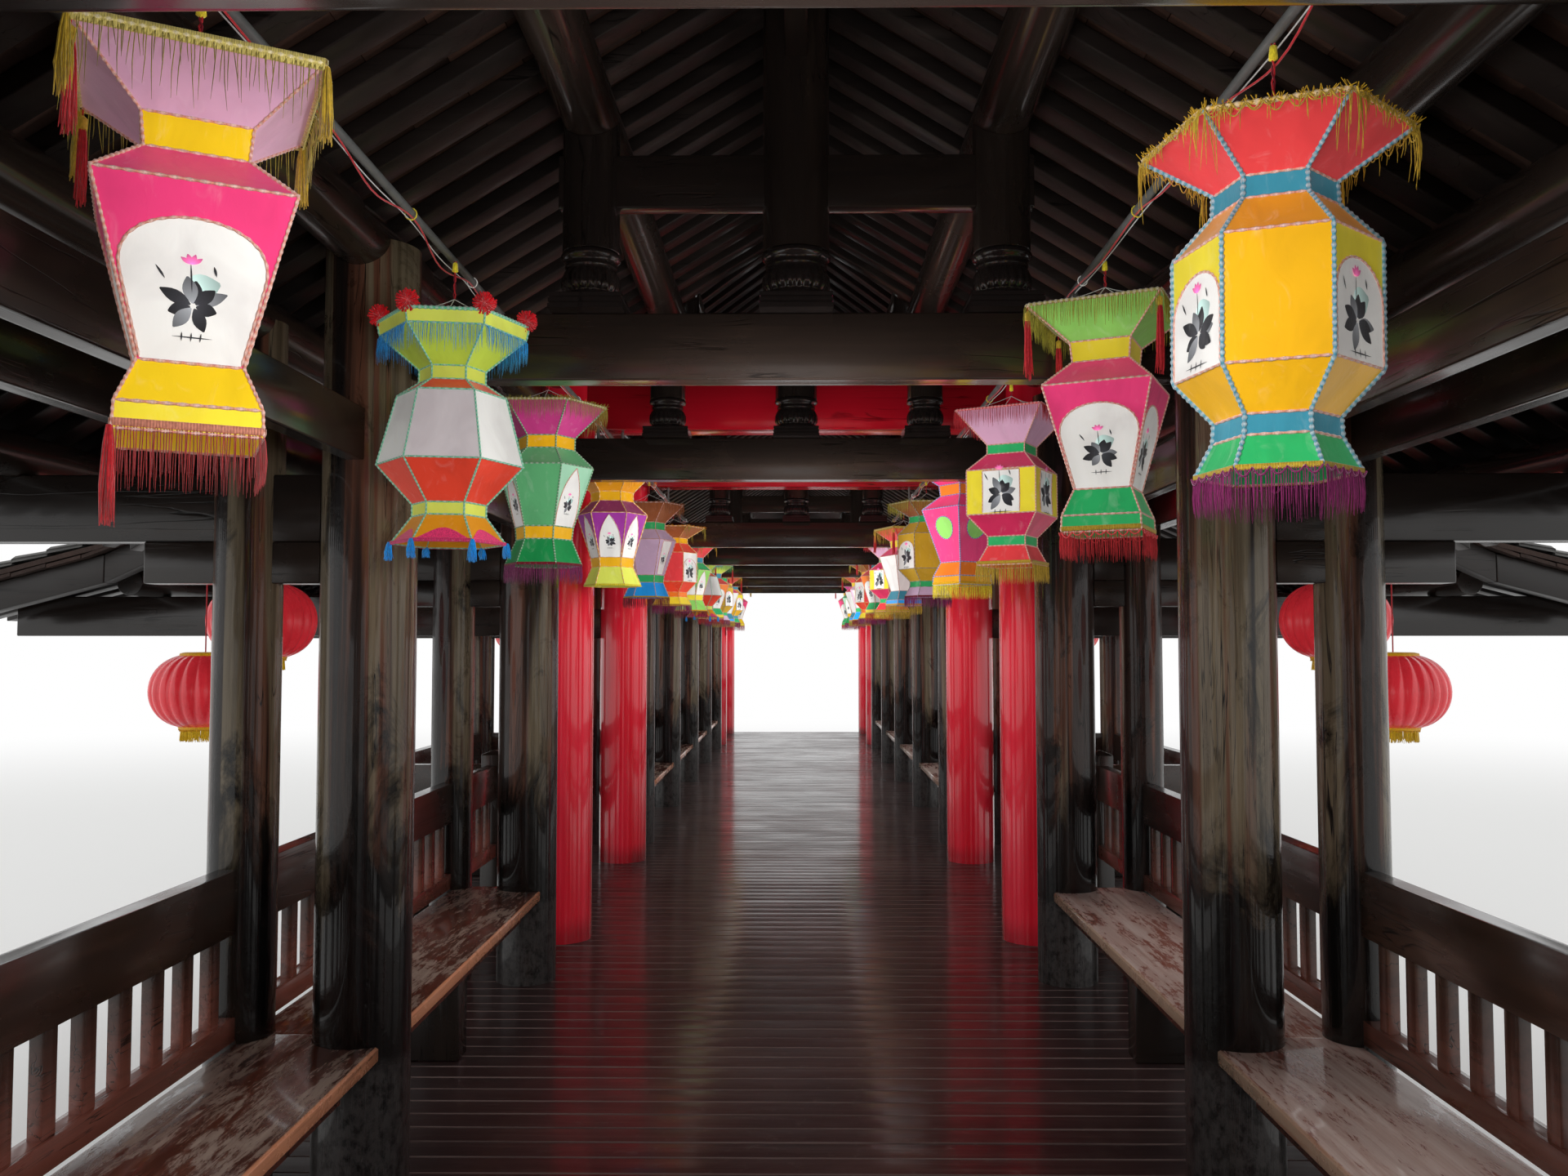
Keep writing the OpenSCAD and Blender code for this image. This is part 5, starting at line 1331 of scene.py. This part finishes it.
    def hanging(self, heap):
        """Bent wires from the rim's corners to a hook above it, and the cord from there up to the
        rod with its small clip."""
        hook = np.array([0, 0, self.h + 0.075])
        s = np.linspace(0, 1, 6)[:, None]
        for k in range(0, self.n, 1 if self.n == 4 else 2):
            a = self.net[-1, k] * (0.99, 0.99, 1)
            line = a + (hook - a) * s + np.array([0, 0, -0.012]) * np.sin(math.pi * s)
            p, q = tubes(self.put(line)[None], (0, 0, 1), 0.0012, 5)
            heap.add(p, q, tint=dye("silver"))
        rise = ROD_Z + DECK - 0.011 - self.z
        s = np.linspace(0, 1, 9)
        for tone, phase in (("scarlet", 0.0), ("wine", math.pi)):
            twist = 14 * s + phase
            line = hook + np.stack([0.003 * np.sin(twist), 0.003 * np.cos(twist), s * (rise - hook[2])], -1)
            p, q = tubes(self.put(line)[None], (1, 0, 0), 0.0019, 5)
            heap.add(p, q, tint=dye(tone))
        clip = np.array([(0, 0, rise - below) for below in (0.034, 0.030, 0.006, 0.002)])
        p, q = tubes(self.put(clip)[None], (1, 0.3, 0), (0.001, 0.009, 0.007, 0.001), 6)
        heap.add(p, q, tint=dye("lemon"))


def make_lanterns(silk, thread):
    """The lanterns under the two rods, six-sided and square, each with its own dyes."""
    rng = np.random.default_rng(31)
    heaps = {n: [Heap(), Heap(), Heap()] for n in (6, 4)}
    for side, places in PLACES.items():
        for y, look in zip([-p for p in places[::-1]] + [0.0] + list(places), LINES[side]):
            lamp = Lantern(side, y, look, rng)
            cloth, piping, fringe = heaps[lamp.n]
            low, high, bunch = (0.004, 0.017, 0.0) if lamp.n == 4 else (-0.004, 0.007, 0.7)
            under = "under" in lamp.extra
            lamp.silk(cloth)
            lamp.piping(piping)
            lamp.hanging(piping)
            lamp.strands(fringe, 0, 0.0042, 0.070, 0.082, lamp.fringe, 0.0010, curl=0.008, lift=0.006)
            lamp.braid(piping, 0, lamp.head, low, high, 0.0044)
            if under or "even" in lamp.extra:
                lamp.strands(fringe, -2 if under else -1, 0.0042, 0.050, 0.085, lamp.strand, 0.0009,
                             0.007, 0.006)
            else:
                lamp.strands(fringe, -1, 0.0060, 0.04, 0.12, lamp.strand, 0.0009, 0.008, 0.03, bunch)
            if "fuzz" in lamp.extra:
                lamp.fuzz(fringe)
            if "braid" in lamp.extra:
                lamp.braid(piping, -1, lamp.rim, -0.012, 0.010, 0.0036)
            lamp.extras(fringe)
    for n, form in ((6, "hexagonal"), (4, "square")):
        cloth, piping, fringe = heaps[n]
        slot, nodes = f"{form}_silk", [f"{form}_lanterns"]
        silks = cloth.piece(f"{form}_silks", silk, slot, nodes, smooth=True)
        cords = piping.piece(f"{form}_piping", thread, slot, nodes, smooth=True)
        threads = fringe.piece(f"{form}_fringes", thread, slot, nodes, smooth=True)


def make_wiring(finish):
    """The lanterns' red and white wires, tied under the rods every 0.6 m. Between two ties a wire
    hangs by d sin(pi s)^2, with its own d for each stretch, and it rests on the tie beams."""
    rng = np.random.default_rng(43)
    heap = Heap()
    ties = np.arange(-11.7, 11.75, 0.6)
    y = np.linspace(ties[0], ties[-1], (len(ties) - 1) * 12 + 1)
    s = (y - ties[0]) / 0.6
    over_beam = np.exp(-(np.min(np.abs(y[:, None] - FRAMES), 1) / 0.12) ** 2)
    a = np.linspace(0, TAU, 13)
    for side, rod_x in ROD_X.items():
        for tone, off, deep, r in (("scarlet", -0.006, 0.038, 0.0024), ("silver", 0.007, 0.020, 0.0016)):
            slack = rng.uniform(0.1, 1.0, len(ties))[np.minimum(s.astype(int), len(ties) - 1)]
            drop = deep * slack * np.sin(math.pi * s) ** 2
            sway = (drop * 0.5 + 0.010 * over_beam) * np.sin(y * 1.7)
            line = np.stack([side * (rod_x + off) + sway, y,
                             DECK + ROD_Z - 0.0145 - drop * (1 - over_beam)], -1)
            radius = np.full(len(y), r)
            radius[0] = radius[-1] = 0.0003
            p, q = tubes(line[None], (0, 0, 1), radius, 5)
            heap.add(p, q, tint=dye(tone))
        for tie in ties:
            ring = np.stack([side * rod_x + 0.0150 * np.sin(a), tie + 0.002 * np.cos(a / 2),
                             DECK + ROD_Z - 0.003 - 0.0155 * np.cos(a)], -1)
            p, q = tubes(ring[None], (0, 1, 0), 0.0018, 4)
            heap.add(p, q, tint=dye("lemon" if rng.random() < 0.3 else "white"))
    heap.piece("rod_wiring", finish, "rod_metal", smooth=True)


def make_round_lanterns(satin, thread):
    """The round red lanterns at the eaves of the middle pavilion, two at each corner."""
    rng = np.random.default_rng(37)
    shell, trim = Heap(), Heap()
    for x in (-2.45, 2.45):
        for way in (-1, 1):
            for y, z, r, h in ((2.64, 1.76, 0.238, 0.33), (3.17, 1.46, 0.212, 0.29)):
                round_lantern(shell, trim, np.array([x, way * y, DECK + z]), r, h, rng)
    silks = shell.piece("round_silks", satin, "red_silk", ["round_lanterns"], smooth=True)
    trims = trim.piece("round_trims", thread, "red_silk", ["round_lanterns"], smooth=True)


def round_lantern(shell, trim, c, r, h, rng):
    """A ball of satin about a middle c: radius r cos(e)^0.72 swelled by 0.94 + 0.06 |sin(12 a)|^0.7
    between its ribs, with gold caps, a yellow fringe and its cord."""
    e = np.linspace(-1, 1, 21) * 1.2
    a = np.arange(144) * TAU / 144
    swelled = (r * np.cos(e) ** 0.72)[:, None] * (0.94 + 0.06 * np.abs(np.sin(a * 12)) ** 0.7)
    up = np.broadcast_to((h / 2 * np.sin(e) / math.sin(1.2))[:, None], (21, 144))
    points = c + np.stack([swelled * np.cos(a), swelled * np.sin(a), up], -1)
    shell.add(points, grid_quads(21, 144, wrap_cols=True), tint=dye("vermilion") * rng.uniform(0.95, 1.0))
    for end in (-1, 1):
        line = c + np.array([(0, 0, end * (h / 2 + rise)) for rise in (-0.014, -0.006, 0.010, 0.014, 0.015)])
        p, q = tubes(line[None], (1, 0, 0), np.array([0.41, 0.475, 0.45, 0.36, 0.004]) * r, 48)
        trim.add(p, q, tint=dye("gold"))
    for count, ring_r, low, high, tone in ((420, 0.40 * r, 0.050, 0.060, "sun"),
                                           (260, 0.43 * r, 0.012, 0.018, "gold")):
        t = rng.uniform(0, TAU, count)
        root = c + np.stack([ring_r * np.cos(t), ring_r * np.sin(t), np.full(count, -h / 2 - 0.002)], -1)
        sway = rng.normal(0, 0.003, (2, count))
        tip = root + np.stack([*sway, -rng.uniform(low, high, count)], -1)
        p, q = tubes(np.stack([root, tip], 1), (1, 0.1, 0), (0.0020, 0.0012), 3)
        trim.add(p, q, tint=thread_tones(rng, tone, 0.7, 1.0, count, 6))
    top = DECK + line_height(GALLERY_LINE, 2.45) - 0.16
    p, q = tubes(np.stack([c + (0, 0, h / 2), (c[0], c[1], top)])[None], (1, 0, 0), 0.003, 6)
    trim.add(p, q, tint=dye("scarlet"))


# The scene

make_camera()
light_scene()
TILE = tile_finish("roof_tile", (0.075, 0.074, 0.072), (0.17, 0.168, 0.16))
BRICK = tile_finish("roof_brick", (0.016, 0.009, 0.007), (0.062, 0.032, 0.023), 0.15)
CARVED = timber_finish("carved_lacquer", "Z", (0.010, 0.008, 0.008), (0.040, 0.028, 0.022),
                       0.15, 0.25, 0.2, 0.6)
THREAD = thread_finish("lantern_thread")
make_frame_timbers()
make_lotus_bases(CARVED)
make_columns(column_finish("column_lacquer"), red_finish("red_lacquer"))
make_floor(floor_finish("floor_paint"))
make_benches(bench_finish("bench_varnish"))
make_roofs(BRICK, TILE)
make_lanterns(silk_finish("lantern_silk"), THREAD)
make_round_lanterns(satin_finish("lantern_satin"), THREAD)
make_wiring(THREAD)
for finish, nodes in ((stone_finish("pier_stone"), ("stone_piers", "pier_caps")),
                      (TILE, ("gallery_ridge_caps", "pavilion_ridge_caps")),
                      (plain_paint("rod_paint", (0.12, 0.125, 0.12), 0.35), ("lantern_rods",))):
    for node in nodes:
        NODES[node].data.materials.clear()
        NODES[node].data.materials.append(finish)

bpy.context.scene.view_settings.view_transform = "Standard"
